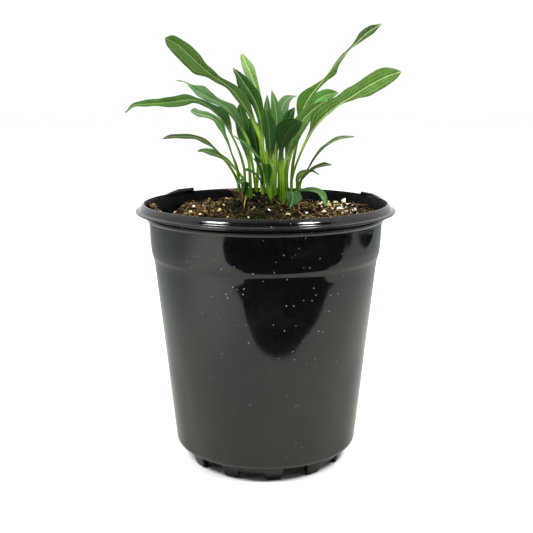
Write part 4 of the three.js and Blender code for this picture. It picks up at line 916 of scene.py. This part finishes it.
def turns(random, count, tilt):
    """Seeded turning matrices: any heading about +Z, and a lean of up to tilt radians."""
    heading, lean, way = (random.uniform(0, 2 * np.pi, count), random.uniform(-tilt, tilt, count),
                          random.uniform(0, 2 * np.pi, count))
    c, s, z = np.cos(heading), np.sin(heading), np.zeros(count)
    spin = np.stack([c, -s, z, s, c, z, z, z, z + 1], -1).reshape(-1, 3, 3)
    c, s = np.cos(way), np.sin(way)
    axis = np.stack([c, s, z], -1)
    cross = np.zeros((count, 3, 3))
    cross[:, 0, 2], cross[:, 2, 0] = axis[:, 1], -axis[:, 1]
    cross[:, 1, 2], cross[:, 2, 1] = -axis[:, 0], axis[:, 0]
    sine, cosine = np.sin(lean)[:, None, None], np.cos(lean)[:, None, None]
    rock = np.eye(3) + sine * cross + (1 - cosine) * cross @ cross
    return rock @ spin


def strewn(random, x, y, sizes, tilt, rough, colours, sink=0.25):
    """Copies of the pebble at x and y, each scaled by its own three sizes, roughened, turned,
    and sunk into the mix by a share of its height."""
    shape, faces = pebble()
    count = len(x)
    wobble = 1 + random.uniform(-rough, rough, (count, len(shape), 1))
    local = shape[None] * wobble * sizes[:, None, :]
    local = local @ turns(random, count, tilt).transpose(0, 2, 1)
    lift = mix_relief(x, y) + sizes[:, 2] * (1 - 2 * sink)
    points = local + np.stack([x, y, lift], -1)[:, None, :]
    indices = faces[None] + (np.arange(count) * len(shape))[:, None, None]
    return (points.reshape(-1, 3), indices.reshape(-1, 3),
            np.repeat(colours, len(shape), axis=0))


def heap(random, x, y, lift, size, hexes):
    """Chips piled over each other: each is roughened and turned as other grains are, and lies
    higher than the mix by its lift."""
    sizes = size * random.uniform((0.7, 0.4, 0.3), (1.6, 0.9, 0.7), (len(x), 3))
    tones = shades(random, len(x), hexes, [3, 3, 1], 0.25)
    return strewn(random, x, y, sizes, 1.1, 0.3, tones, 0.2 - lift / (2 * sizes[:, 2]))


def shades(random, count, hexes, weights, spread=0.25):
    """Seeded colours drawn from a few hex values, each made a little lighter or darker."""
    table = np.array([linear(code) for code in hexes])
    weights = np.array(weights, float)
    drawn = table[random.choice(len(hexes), count, p=weights / weights.sum())].copy()
    drawn[:, :3] *= random.uniform(1 - spread, 1 + spread, (count, 1))
    return drawn


def strands(starts, headings, lengths, widths, bends, rises, colours, stations=7, sides=4):
    """Thin fibres: each follows an arc of a circle that starts along its heading and turns by
    its bend, rises by its share of the length in the middle, and narrows to both ends. Where
    its start has a height, it rises by that share to its far end instead."""
    u = np.linspace(0, 1, stations)
    angle = headings[:, None] + bends[:, None] * (u - 0.5)
    step = lengths[:, None] / (stations - 1)
    x = starts[:, :1] + np.cumsum(np.cos(angle) * step, 1)
    y = starts[:, 1:2] + np.cumsum(np.sin(angle) * step, 1)
    if starts.shape[1] == 3:
        z = starts[:, 2:] + rises[:, None] * lengths[:, None] * u
    else:
        z = mix_relief(x, y) + rises[:, None] * lengths[:, None] * 4 * u * (1 - u) + 0.2
    line = np.stack([x, y, z], -1)
    tangent = unit(np.gradient(line, axis=1))
    side = unit(np.cross(tangent, [0.0, 0.0, 1.0]) + [1e-4, 0, 0])
    up = np.cross(side, tangent)
    a = np.linspace(0, 2 * np.pi, sides, endpoint=False)[:, None]
    thick = widths[:, None] * (0.35 + 0.65 * np.sin(np.pi * (0.08 + 0.84 * u)))
    round_line = np.cos(a) * side[:, :, None] + np.sin(a) * up[:, :, None]
    rings = line[:, :, None] + thick[..., None, None] * round_line
    last = sides * (stations - 1)
    ends = [[3, 2, 1, 0], [last, last + 1, last + 2, last + 3]]
    base = np.vstack([grid_faces(stations, sides, closed=True), ends])
    faces = base[None] + (np.arange(len(starts)) * stations * sides)[:, None, None]
    return (rings.reshape(-1, 3), faces.reshape(-1, 4),
            np.repeat(colours, stations * sides, axis=0))


def mix_piece(name, parts, matter):
    """Puts grains or strands, each as points, faces and colours, into one piece on the mix."""
    points, faces = joined([(p, [f]) for p, f, c in parts])
    piece = new_piece(name, points, faces, matter, colours=np.vstack([c for p, f, c in parts]))
    settle(piece, "potting_mix", "potting_mix")


def ground_shades(random, x, y):
    """Seeded colours of crumbs: red-brown on the left, tan on the right, and nearly black with
    a green film in front of the crown; in the sunken place along the left wall they take the same
    near-black shades, darkened further as painted shade of the wall."""
    count = len(x)
    left = shades(random, count, ["#0c0906", "#2e2316", "#573f28", "#7a5f3a", "#a08456"],
                  [6, 3, 3, 2, 1], 0.35)
    right = shades(random, count, ["#0b0906", "#261d13", "#473823", "#675536", "#88744c"],
                   [4, 3, 3, 2, 1], 0.35)
    moss_and_wall_shade = shades(random, count, ["#060604", "#0f1309", "#1b2110", "#2f361d", "#392b1c"],
                   [6, 5, 4, 1, 1], 0.35)
    drift = x + random.normal(0, 5, count)
    tones = np.where((drift < 0)[:, None], left, right)
    # Painted shade: in the sunken place along the left wall the crumbs are darkened further, for
    # the wall's shadow.
    moss_and_wall_shade[drift < -56] *= 0.6
    dark = (drift < -56) | ((np.abs(drift + 10) < 22) & (y < 6)) | (np.abs(x) + np.abs(y) < 24)
    return np.where(dark[:, None], moss_and_wall_shade, tones)


class CONEFLOWER_OT_potting_mix(bpy.types.Operator):
    """The body of the potting mix, with its crumbled surface"""
    bl_idname = "coneflower.potting_mix"
    bl_label = "Potting mix"

    def execute(self, context):
        count = 285
        u, v = np.meshgrid(np.linspace(-1, 1, count), np.linspace(-1, 1, count), indexing="ij")
        # The square grid is drawn out to a disc: each axis shrinks where the other is large.
        x = MIX_EDGE * u * np.sqrt(1 - v * v / 2)
        y = MIX_EDGE * v * np.sqrt(1 - u * u / 2)
        top = np.stack([x, y, mix_relief(x, y)], -1).reshape(-1, 3)
        index = np.arange(count * count).reshape(count, count)
        border = np.r_[index[:-1, 0], index[-1, :-1], index[:0:-1, -1], index[0, :0:-1]]
        heading = np.arctan2(top[border, 1], top[border, 0])
        radius, height = np.array(MIX_WALL).T[..., None]
        wall = np.stack([radius * np.cos(heading), radius * np.sin(heading),
                         height + 0 * heading], -1).reshape(-1, 3)
        around = len(border)
        first = len(top)
        j = np.arange(around)
        k = (j + 1) % around
        rings = [border, *(first + np.arange(len(wall)).reshape(-1, around))]
        sides = [np.stack([a[j], a[k], b[k], b[j]], -1)[:, ::-1]
                 for a, b in zip(rings[:-1], rings[1:])]
        pole = np.full(around, first + len(wall))
        foot = np.stack([rings[-1][k], rings[-1][j], pole], -1)[:, ::-1]
        points = np.vstack([top, wall, [(0, 0, MIX_WALL[-1][1])]])
        piece = new_piece("mix_body", points, [grid_faces(count, count), *sides, foot],
                          damp_potting_mix(context.scene.coneflower_mix))
        settle(piece, "potting_mix", "potting_mix")
        return {"FINISHED"}


class CONEFLOWER_OT_crumbs(bpy.types.Operator):
    """Crumbs of peat, chips of bark and a few larger pieces that lie on the mix"""
    bl_idname = "coneflower.crumbs"
    bl_label = "Crumbs and bark"

    def execute(self, context):
        random = np.random.default_rng(21)
        count = context.scene.coneflower_mix.crumbs
        x, y = scatter(random, count, 2, 71)
        size = random.gamma(2.6, 0.15, count)[:, None] * random.uniform(0.5, 1.6, (count, 3))
        tones = ground_shades(random, x, y)
        # Bark lies in the brown areas on the left and right.
        chips = 420
        cx, cy = scatter(random, chips, 22, GRAIN_EDGE)
        flat = np.stack([random.uniform(0.9, 2.6, chips), random.uniform(0.25, 0.8, chips),
                         random.uniform(0.2, 0.5, chips)], -1)
        bark = ground_shades(random, cx, cy)
        # Bark leans on the left wall, rising with its slope, and a bank of peat with a
        # bell-shaped section lies in front of the crown.
        leaning, banked = 60, 360
        slope = random.uniform(0, 1, leaning) ** 0.8
        aside = random.normal(0, 1, leaning) * (4.4 - 1.6 * slope)
        away = random.normal(0, 0.75, (banked, 2))
        away = away[np.linalg.norm(away, axis=1) < 1.5]
        bank = away * (11.0, 4.6) + (-5.5, -13.5)
        bell = np.exp(-(away ** 2).sum(1))
        # Flat chips lie on the left and right.
        large = np.array([(4.6, 1.3, 1.0), (3.6, 1.6, 0.9), (3.2, 1.4, 0.8), (3.4, 1.0, 0.8)])
        brown = shades(random, 4, ["#5a442c", "#33261a"], [2, 3], 0.15)
        parts = [strewn(random, x, y, size, 1.2, 0.3, tones),
                 strewn(random, cx, cy, flat, 0.5, 0.22, bark),
                 strewn(random, np.array([64.0, -49.0, -44.0, 62.0]),
                        np.array([16.0, 6.0, 14.0, 22.0]), large, 0.5, 0.3, brown, -0.1),
                 heap(random, -66.5 - 8 * slope, 9 + aside, 9.5 * slope, 1.5,
                      ["#6b543a", "#382a1d", "#967d60"]),
                 heap(random, *bank.T, 8 * bell * random.uniform(0, 1, len(bell)), 1.1,
                      ["#0e0c07", "#211b10", "#4c3c26"])]
        mix_piece("mix_crumbs", parts, loose_matter("crumbled_peat_and_bark", 0.7, 0.92))
        return {"FINISHED"}


class CONEFLOWER_OT_perlite(bpy.types.Operator):
    """White grains of expanded perlite, thickest on the right"""
    bl_idname = "coneflower.perlite"
    bl_label = "Perlite"

    def execute(self, context):
        random = np.random.default_rng(33)
        count = context.scene.coneflower_mix.grains
        half = count // 2
        x, y = scatter(random, count, 24, GRAIN_EDGE)
        x[:half] = random.normal(49, 8, half)
        y[:half] = random.normal(16, 18, half)
        placed = np.array(PLACED_GRAINS)
        keep = np.hypot(x, y) < GRAIN_EDGE
        x, y = np.r_[placed[:, 0], x[keep]], np.r_[placed[:, 1], y[keep]]
        size = np.r_[placed[:, 2] / 2, random.gamma(4.0, 0.14, keep.sum())]
        sizes = size[:, None] * random.uniform(0.55, 1.2, (len(size), 3))
        tones = shades(random, len(size), ["#f6efd0", "#ddd09a", "#b9a869", "#fbf8ea"],
                       [3, 3, 2, 2], 0.08)
        grains = strewn(random, x, y, sizes, 1.5, 0.34, tones, 0.2)
        mix_piece("mix_perlite", [grains], loose_matter("expanded_perlite", 0.5, 0.8))
        return {"FINISHED"}


class CONEFLOWER_OT_fibres(bpy.types.Operator):
    """Straws, wood fibres and root hairs on the mix"""
    bl_idname = "coneflower.fibres"
    bl_label = "Fibres"

    def execute(self, context):
        random = np.random.default_rng(47)
        count = context.scene.coneflower_mix.fibres
        x, y = scatter(random, count, 8, GRAIN_EDGE)
        shapes = (np.stack([x, y], -1), random.uniform(0, 2 * np.pi, count),
                  random.uniform(1.5, 8, count), random.uniform(0.1, 0.34, count),
                  random.normal(0, 0.6, count), random.uniform(0.0, 0.14, count))
        tones = shades(random, count, ["#8f6c42", "#5f4327", "#b89a68", "#2b1e13", "#6a6a3c"],
                       [3, 4, 2, 3, 1])
        tones[(np.abs(x + 10) < 21) & (y < 4), :3] *= 0.35
        *numbers, codes = zip(*STRAWS)
        numbers = np.array(numbers)
        straws = strands(numbers[:3].T, np.radians(numbers[3]), *numbers[4:],
                         [linear(code) for code in codes])
        mix_piece("mix_fibres", [strands(*shapes, tones), straws],
                  loose_matter("straw_and_wood_fibre", 0.6, 0.75))
        return {"FINISHED"}


# The crown

CROWN_MIDDLE = (1.0, 2.0)
CROWN_REACH = (24.0, 23.0)
CROWN_TOP = 169.8
CROWN_SAG = 2.2
CROWN_RINGS = 34
# The x and y of each old stalk end, its radius, height and colour.
STALK_ENDS = [(-9.5, -17.5, 2.1, 4.0, "#33281c"), (-13.0, -14.5, 1.5, 3.2, "#5a4530"),
              (15.5, -14.0, 1.3, 2.2, "#4a3a26")]


class CONEFLOWER_OT_crown(bpy.types.Operator):
    """The crown that the stalks rise from: a low rough mound with old stalk ends on it"""
    bl_idname = "coneflower.crown"
    bl_label = "Crown"

    def execute(self, context):
        # The upper rings sag from the middle as a square does, the others draw in below.
        share = np.r_[np.linspace(0.002, 1, CROWN_RINGS), np.linspace(0.99, 0.36, 14)]
        upper = np.arange(len(share)) < CROWN_RINGS
        edge = CROWN_TOP - CROWN_SAG
        height = np.where(upper, CROWN_TOP - CROWN_SAG * share ** 2,
                          edge - 17.5 * ((1 - share) / 0.64) ** 0.6)
        turn = np.linspace(0, 2 * np.pi, 144, endpoint=False)
        x = CROWN_MIDDLE[0] + CROWN_REACH[0] * share[:, None] * np.cos(turn)
        y = CROWN_MIDDLE[1] + CROWN_REACH[1] * share[:, None] * np.sin(turn)
        rough = 0.55 * lattice_noise(x, y, 3.2, 13) + 0.3 * lattice_noise(x, y, 1.3, 15)
        z = height[:, None] + (rough - 0.9) * upper[:, None]
        points, faces = capped_sweep(np.stack([x, y, z], -1))
        tone = np.tile(linear("#3a2c1c"), (len(points), 1))
        speck = lattice_noise(points[:, 0], points[:, 1], 2.1, 17)
        tone[:, :3] *= (1 + 0.5 * speck)[:, None]
        tissue = dry_tissue("old_crown_tissue")
        mound = new_piece("crown_mound", points, turned_over(faces), tissue, colours=tone)
        settle(mound, "crown", "crown_and_roots")
        # Old stalk ends: rounded stumps with a hollow cut.
        low = CROWN_TOP - 5
        stumps, tones = [], []
        for x, y, r, h, code in STALK_ENDS:
            profile = filleted([(0.02, low, 0), (r, low, 0), (r * 1.05, low + h, 0.6),
                                (r * 0.7, low + h + 0.9, 0.4), (r * 0.5, low + h + 0.3, 0.3),
                                (0.02, low + h, 0)])
            points, faces = capped_sweep(turned(profile, 20) + [x, y, 0])
            stumps.append((points, turned_over(faces)))
            tones.append(np.tile(linear(code), (len(points), 1)))
        piece = new_piece("old_stalk_ends", *joined(stumps), tissue, colours=np.vstack(tones))
        settle(piece, "crown", "crown_and_roots")
        return {"FINISHED"}


# The leaves' shape

# Every stalk starts at one height, sunk in the crown, with a short straight length. The stations
# of a leaf are a little over a millimetre apart.
STALK_SEAT = 165.3
PEG = 5.0
STATION_STEP = 1.15
# The roughness, vein light and sheen of each finish.
LEAF_FINISHES = {"mid": (0.5, 1.3, 0.008), "deep": (0.42, 1.3, 0.004), "bright": (0.5, 1.4, 0.008)}


def blade_widths(stops, share):
    """Half widths on both sides of the midrib: cubics through the stops, whose slope at each
    stop is that between its neighbours. Before the first stop they keep its value."""
    at, *columns = np.array(stops, float).T
    here = np.clip(share, at[0], 1)
    index = np.clip(np.searchsorted(at, here, side="right") - 1, 0, len(at) - 2)
    span = at[index + 1] - at[index]
    t = (here - at[index]) / span
    before = np.maximum(np.arange(len(at)) - 1, 0)
    after = np.minimum(np.arange(len(at)) + 1, len(at) - 1)
    widths = []
    for value in columns:
        slope = (value[after] - value[before]) / (at[after] - at[before])
        widths.append((2 * t ** 3 - 3 * t ** 2 + 1) * value[index]
                      + (t ** 3 - 2 * t ** 2 + t) * span * slope[index]
                      + (3 * t ** 2 - 2 * t ** 3) * value[index + 1]
                      + (t ** 3 - t ** 2) * span * slope[index + 1])
    return [np.maximum(width, 0.25) for width in widths]


def leaf_surface(row, settings, seed, columns=15):
    """A leaf as one closed tube of stations along its midrib.

    At each station the side direction is level and square to the midrib, turned by the roll.
    A point of the upper face stands out by its share of the half width, and up by the keel's
    slope, a sine along the margin and a groove over the midrib; the lower face is the same less
    the thickness, which fades to nothing at the margin, and a rib under the midrib. On the
    stalk both faces become the two halves of a flattened round with a channel on top."""
    base, stalk, roll, wave, fold, path, sides, stops = row
    start = np.array([*base, STALK_SEAT])
    path = np.reshape(path, (-1, 3)).astype(float)
    stops = np.reshape(stops, (-1, 1 + sides)).T[[0, 1, -1]].T
    dense = spline([start, start + PEG * unit(path[0] - start), *path])
    length = np.linalg.norm(np.diff(dense, axis=0), axis=1).sum()
    stations = int(np.clip(length / STATION_STEP, 30, 110))
    centre, length = evenly(dense, stations)
    share = np.linspace(0, 1, stations)
    tangent = unit(np.gradient(centre, axis=0))
    outward = unit((path[-1] - start) * [1, 1, 0])
    level = np.array([outward[1], -outward[0], 0.0])
    side = unit(level - tangent * (tangent @ level)[:, None])
    begins = stops[0, 0]
    blade = smoothstep(share, begins * 0.6, begins + 0.1)
    turn = (np.radians(np.interp(share, [0, 1], roll)) * blade)[:, None]
    side = side * np.cos(turn) + np.cross(tangent, side) * np.sin(turn)
    up = np.cross(side, tangent)
    # A stalk is widest at its foot. The margins of a blade waver, each against the other.
    stalk = stalk * (1 - 0.25 * share) * (1 + 0.35 * np.exp(-((share * length / 9) ** 2)))
    low, high = (np.where(share <= begins, stalk, width) for width in blade_widths(stops, share))
    phase = np.random.default_rng(seed).uniform(0, 6.28, 4)
    run = share * length
    uneven = 1 + 0.035 * blade * np.sin(run / 2.9 + phase[0]) * np.sin(run / 6.1 + phase[1])
    low, high = low * uneven, high * (2 - uneven)
    size = (blade * np.minimum(1, (low + high) / 6))[:, None]
    # Columns crowd towards the midrib. From here on, stations are rows.
    share, run, b = share[:, None], run[:, None], blade[:, None]
    grade = np.linspace(-1, 1, columns)
    across = np.sign(grade) * np.abs(grade) ** 1.15
    a = np.abs(across)[None, :]
    half = np.where(across < 0, low[:, None], high[:, None])
    offset = across * half
    ripple = wave * size * np.sin(5 * np.pi * share + np.where(across < 0, 0.0, 2.0)) * a
    ruffle = 0.22 * size * a ** 3 * np.sin(run / 1.9 + phase[2] + 2 * (across < 0))
    lift = fold * np.abs(offset) * b * (0.75 + 0.25 * a) + ripple + ruffle
    groove = settings.groove / MM * np.exp(-((offset / 0.8) ** 2)) * b * np.minimum(1, half / 3)
    thick = settings.blade_thickness / MM * np.sqrt(np.maximum(0, 1 - a ** 4))
    rib = (1.1 - 0.75 * b) * (1 - 0.4 * share) * np.exp(-((offset / 0.9) ** 2)) * b
    dome = np.sqrt(np.maximum(0, 1 - a ** 2))
    stalk_top = 0.5 * dome - 0.45 * np.exp(-((across[None] / 0.4) ** 2))
    stalk_low = -1.25 * (1 - 0.3 * share) * dome
    upper = b * (lift + thick / 2 - groove) + (1 - b) * stalk_top
    lower = b * (lift - thick / 2 - groove * 0.4 - rib) + (1 - b) * stalk_low
    place = centre[:, None] + offset[..., None] * side[:, None]
    top = place + upper[..., None] * up[:, None]
    bottom = place + lower[..., None] * up[:, None]
    points, faces = capped_sweep(np.concatenate([top, bottom[:, -2:0:-1]], 1))

    def per_point(above, below, near, far):
        """Values of the upper and the lower side, in the order of the points, and of both ends."""
        above, below = (np.broadcast_to(face, offset.shape) for face in (above, below))
        return np.r_[np.concatenate([above, below[:, -2:0:-1]], 1).ravel(), near, far]

    layers = {
        "blade": per_point(b, b, 0, 1),
        "across": per_point(across, across, 0, 0),
        "offset": per_point(offset * MM, offset * MM, 0, 0),
        "along": per_point(run * MM, run * MM, 0, length * MM),
        "under": per_point(0.5 * (a > 0.999), 1.0, 0.5, 0.5),
    }
    uv = np.stack([layers["offset"] * 10 + 0.5, layers["along"] * 5], -1)
    return points, faces, layers, uv


def leaf_tones(layers, low, tip, settings):
    """Colours of a leaf: from its lower colour to its tip colour along the blade, and from the
    crown's green to the paler stalk below it."""
    along = layers["along"] / layers["along"].max()

    def faded(value, start, end, first, last):
        """A smooth step from the first colour to the last, as the value goes from start to end."""
        share = smoothstep(value, start, end)[:, None]
        return first * (1 - share) + last * share

    blade = faded(along, 0.45, 0.95, np.array(linear(low)), np.array(linear(tip)))
    stalk = faded(along, 0.0, 0.35, np.array(settings.stalk_base[:]),
                  np.array(settings.stalk[:]))
    return faded(layers["blade"], 0.25, 1.0, stalk, blade)


def build_leaf(name, settings, material, slot, seed):
    """Builds the leaf of one row of LEAVES, and puts it in the place of its node."""
    low, tip, veining, *row = LEAVES[name][1:]
    points, faces, layers, uv = leaf_surface(row, settings, seed)
    layers["veining"] = np.full(len(points), veining)
    piece = new_piece(name + "_blade", points, faces, material, uv=uv, layers=layers,
                      colours=leaf_tones(layers, low, tip, settings))
    settle(piece, slot, name)


class CONEFLOWER_OT_leaves(bpy.types.Operator):
    """The basal leaves on their stalks, one object for each"""
    bl_idname = "coneflower.leaves"
    bl_label = "Leaves"

    def execute(self, context):
        settings = context.scene.coneflower_leaf
        finishes = {finish: living_leaf("satin_%s_green_leaf" % finish, settings, *values)
                    for finish, values in LEAF_FINISHES.items()}
        for seed, name in enumerate(LEAVES):
            finish = LEAVES[name][0]
            if finish in finishes:
                build_leaf(name, settings, finishes[finish], "leaf_%s_green" % finish, seed)
        return {"FINISHED"}


class CONEFLOWER_OT_dead_sheath(bpy.types.Operator):
    """The papery base of a dead leaf"""
    bl_idname = "coneflower.dead_sheath"
    bl_label = "Dead leaf base"

    def execute(self, context):
        settings = context.scene.coneflower_leaf
        build_leaf("dry_leaf_base", settings, dry_tissue("papery_dead_leaf"), "dry_leaf", 91)
        return {"FINISHED"}


# The stage

CAMERA_PLACE = (0.57 * MM, -0.560, 0.2406)
CAMERA_TILT = math.radians(78.34)
LENS = 59.51
FRONT_ROOM = (0.0, -0.94, 0.34)
RIM_FRONT = (0, -0.07, 0.165)
# The softboxes, and a paler cloth below each that shows only in the gloss of the rim: place and
# size in metres, share of a softbox's power, and if it lights matt surfaces too.
LIGHTS = [
    ("softbox_left", (-0.93, -0.58, 1.42), (0.42, 0.45), 1.0, True),
    ("softbox_right", (0.80, -0.64, 1.44), (0.3, 0.45), 1.0, True),
    ("glow_left", (-0.98, -0.88, 1.18), (0.45, 0.5), 0.3, False),
    ("glow_right", (0.82, -0.93, 1.18), (0.3, 0.5), 0.35, False),
]
VELVET = [
    (-300, -620), (620, -620), (560, -40), (540, -22), (500, -62), (485, -106), (443, -122),
    (357, -128), (306, -165), (247, -173), (202, -183), (152, -196), (97, -200), (43, -210),
    (-9, -223), (-41, -238), (-82, -264), (-112, -290), (-150, -300), (-180, -306),
    (-230, -340), (-264, -347), (-290, -365),
]
VELVET_CORNER = [(585, 30), (590, 200), (560, 370), (532, 335), (518, 225), (516, 180), (545, 85)]


def rectangle(x, y, z):
    """Corners of a rectangle whose near edge is at the first y and z, and its far edge at the
    second."""
    return [(x[i], y[j], z[j]) for i, j in ((0, 0), (1, 0), (1, 1), (0, 1))]


def flat_card(name, corners, material):
    """A flat sheet whose outline is given in millimetres."""
    piece = new_piece(name, np.array(corners, float), [[tuple(range(len(corners)))]], material,
                      smooth=False)
    return piece


def aimed_light(name, place, target, size, power):
    """A rectangular light that points at its target."""
    data = bpy.data.lights.new(name, "AREA")
    data.shape = "RECTANGLE"
    data.size, data.size_y = size
    data.energy = power
    light = in_scene(name, data)
    light.location = place
    aim = np.array(target) - np.array(place)
    heading = math.atan2(aim[1], aim[0]) - math.pi / 2
    light.rotation_euler = (math.acos(-aim[2] / np.linalg.norm(aim)), 0, heading)
    return light


def shaded_paper(name, colour, *pools):
    """Matt paper of one colour with painted pools of light in others: a pool is a point, its
    colour, the distance to which it is full and the one where it ends, in millimetres."""
    material, node = new_material(name)
    for middle, pooled, near, far in pools:
        away = node("VectorMath", "DISTANCE", node("TexCoord", out="Object"),
                    tuple(value * MM for value in middle), out="Value")
        share = node("MapRange", "SMOOTHSTEP", away, near * MM, far * MM, 1.0, 0.0)
        colour = node("Mix", share, colour, linear(pooled), **COLOURS)
    return surfaced(material, node, Base_Color=colour, Roughness=0.9, IOR=1.4)


def white_surroundings(settings):
    """White all round and above, falling to a dim room in front of the pot: the light from a
    direction is a smoothstep of the cosine between it and the middle of the dim part."""
    world = bpy.data.worlds.new("white_surroundings")
    world.use_nodes = True
    tree = world.node_tree
    towards = add_node(tree, "VectorMath", "DOT_PRODUCT",
                       add_node(tree, "TexCoord", out="Generated"), FRONT_ROOM, out="Value")
    light = add_node(tree, "MapRange", "SMOOTHSTEP", towards, 0.3, 0.75, settings.sky,
                     settings.room)
    background = tree.nodes["Background"]
    background.inputs["Color"].default_value = (1, 1, 1, 1)
    tree.links.new(light, background.inputs["Strength"])
    return world


class CONEFLOWER_OT_stage(bpy.types.Operator):
    """A plain pale floor in white surroundings, two softboxes and the camera"""
    bl_idname = "coneflower.stage"
    bl_label = "Stage"

    def execute(self, context):
        scene = context.scene
        settings = scene.coneflower_stage
        matt_white = shaded_paper("matt_white_paper", settings.floor[:])
        flat_card("floor", rectangle((-6000, 6000), (-6000, 6000), (0, 0)), matt_white)
        # A grey table, and black velvet on it and beyond it, show only in the gloss. The table is
        # painted lighter near the pot and in front on the left: painted pools of light.
        velvet = surfaced(*new_material("black_velvet"), Base_Color=linear("#020202"),
                          Roughness=1.0, IOR=1.0)
        grey = shaded_paper("grey_paper", linear("#848b8a"),
                            ((60, 0, 0), "#bbbfb3", 60, 640),
                            ((-330, -270, 0), "#d8dad0", 40, 300))
        for name, corners, material in (
                ("velvet", [(x, y, 2) for x, y in VELVET], velvet),
                ("velvet_corner", [(x, y, 2) for x, y in VELVET_CORNER], velvet),
                ("velvet_curtain", rectangle((-5000, 5000), (-2500, -2500), (300, 5200)),
                 velvet),
                ("grey_table", rectangle((-3000, 3000), (-3000, 700), (1, 1)), grey)):
            card = flat_card(name, corners, material)
            card.visible_camera = False
            card.visible_diffuse = False
            card.visible_shadow = False
            card.visible_transmission = False
        scene.world = white_surroundings(settings)
        for name, place, size, share, diffuse in LIGHTS:
            light = aimed_light(name, place, RIM_FRONT, size, share * settings.softbox_power)
            light.visible_diffuse = diffuse
        overhead = in_scene("overhead", bpy.data.lights.new("overhead", "SUN"))
        overhead.data.energy = settings.overhead
        overhead.data.angle = math.radians(70)
        overhead.rotation_euler = (math.radians(-12), 0, 0)
        overhead.visible_glossy = False
        camera = in_scene("camera", bpy.data.cameras.new("camera"))
        camera.location = CAMERA_PLACE
        camera.rotation_euler = (CAMERA_TILT, 0, 0)
        camera.data.lens = LENS
        camera.data.sensor_width = 36
        camera.data.clip_start = 0.01
        camera.data.clip_end = 50
        camera.data.dof.use_dof = False
        scene.camera = camera
        scene.view_settings.view_transform = "Standard"
        return {"FINISHED"}


# Panel and registration

PIECES = (
    CONEFLOWER_OT_pot_wall, CONEFLOWER_OT_pot_feet, CONEFLOWER_OT_grip_tabs,
    CONEFLOWER_OT_potting_mix, CONEFLOWER_OT_crumbs, CONEFLOWER_OT_perlite,
    CONEFLOWER_OT_fibres, CONEFLOWER_OT_crown, CONEFLOWER_OT_leaves,
    CONEFLOWER_OT_dead_sheath, CONEFLOWER_OT_stage,
)
SETTINGS = {
    "coneflower_pot": PotSettings,
    "coneflower_mix": MixSettings,
    "coneflower_leaf": LeafSettings,
    "coneflower_stage": StageSettings,
}


class CONEFLOWER_PT_pieces(bpy.types.Panel):
    """Lists the settings and the pieces of the potted coneflower"""
    bl_label = "Potted coneflower"
    bl_idname = "CONEFLOWER_PT_pieces"
    bl_space_type = "VIEW_3D"
    bl_region_type = "UI"
    bl_category = "Coneflower"

    def draw(self, context):
        for name, group in SETTINGS.items():
            box = self.layout.box()
            for key in group.__annotations__:
                box.prop(getattr(context.scene, name), key)
        for operator in PIECES:
            self.layout.operator(operator.bl_idname)


def register():
    for group in SETTINGS.values():
        bpy.utils.register_class(group)
    for operator in (*PIECES, CONEFLOWER_PT_pieces):
        bpy.utils.register_class(operator)
    for name, group in SETTINGS.items():
        setattr(bpy.types.Scene, name, bpy.props.PointerProperty(type=group))


def unregister():
    for name in SETTINGS:
        delattr(bpy.types.Scene, name)
    for operator in (CONEFLOWER_PT_pieces, *reversed(PIECES)):
        bpy.utils.unregister_class(operator)
    for group in reversed(list(SETTINGS.values())):
        bpy.utils.unregister_class(group)


def main():
    """Registers the classes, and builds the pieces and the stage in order."""
    register()
    for operator in PIECES:
        getattr(bpy.ops.coneflower, operator.bl_idname.partition(".")[2])()


if __name__ == "__main__":
    main()
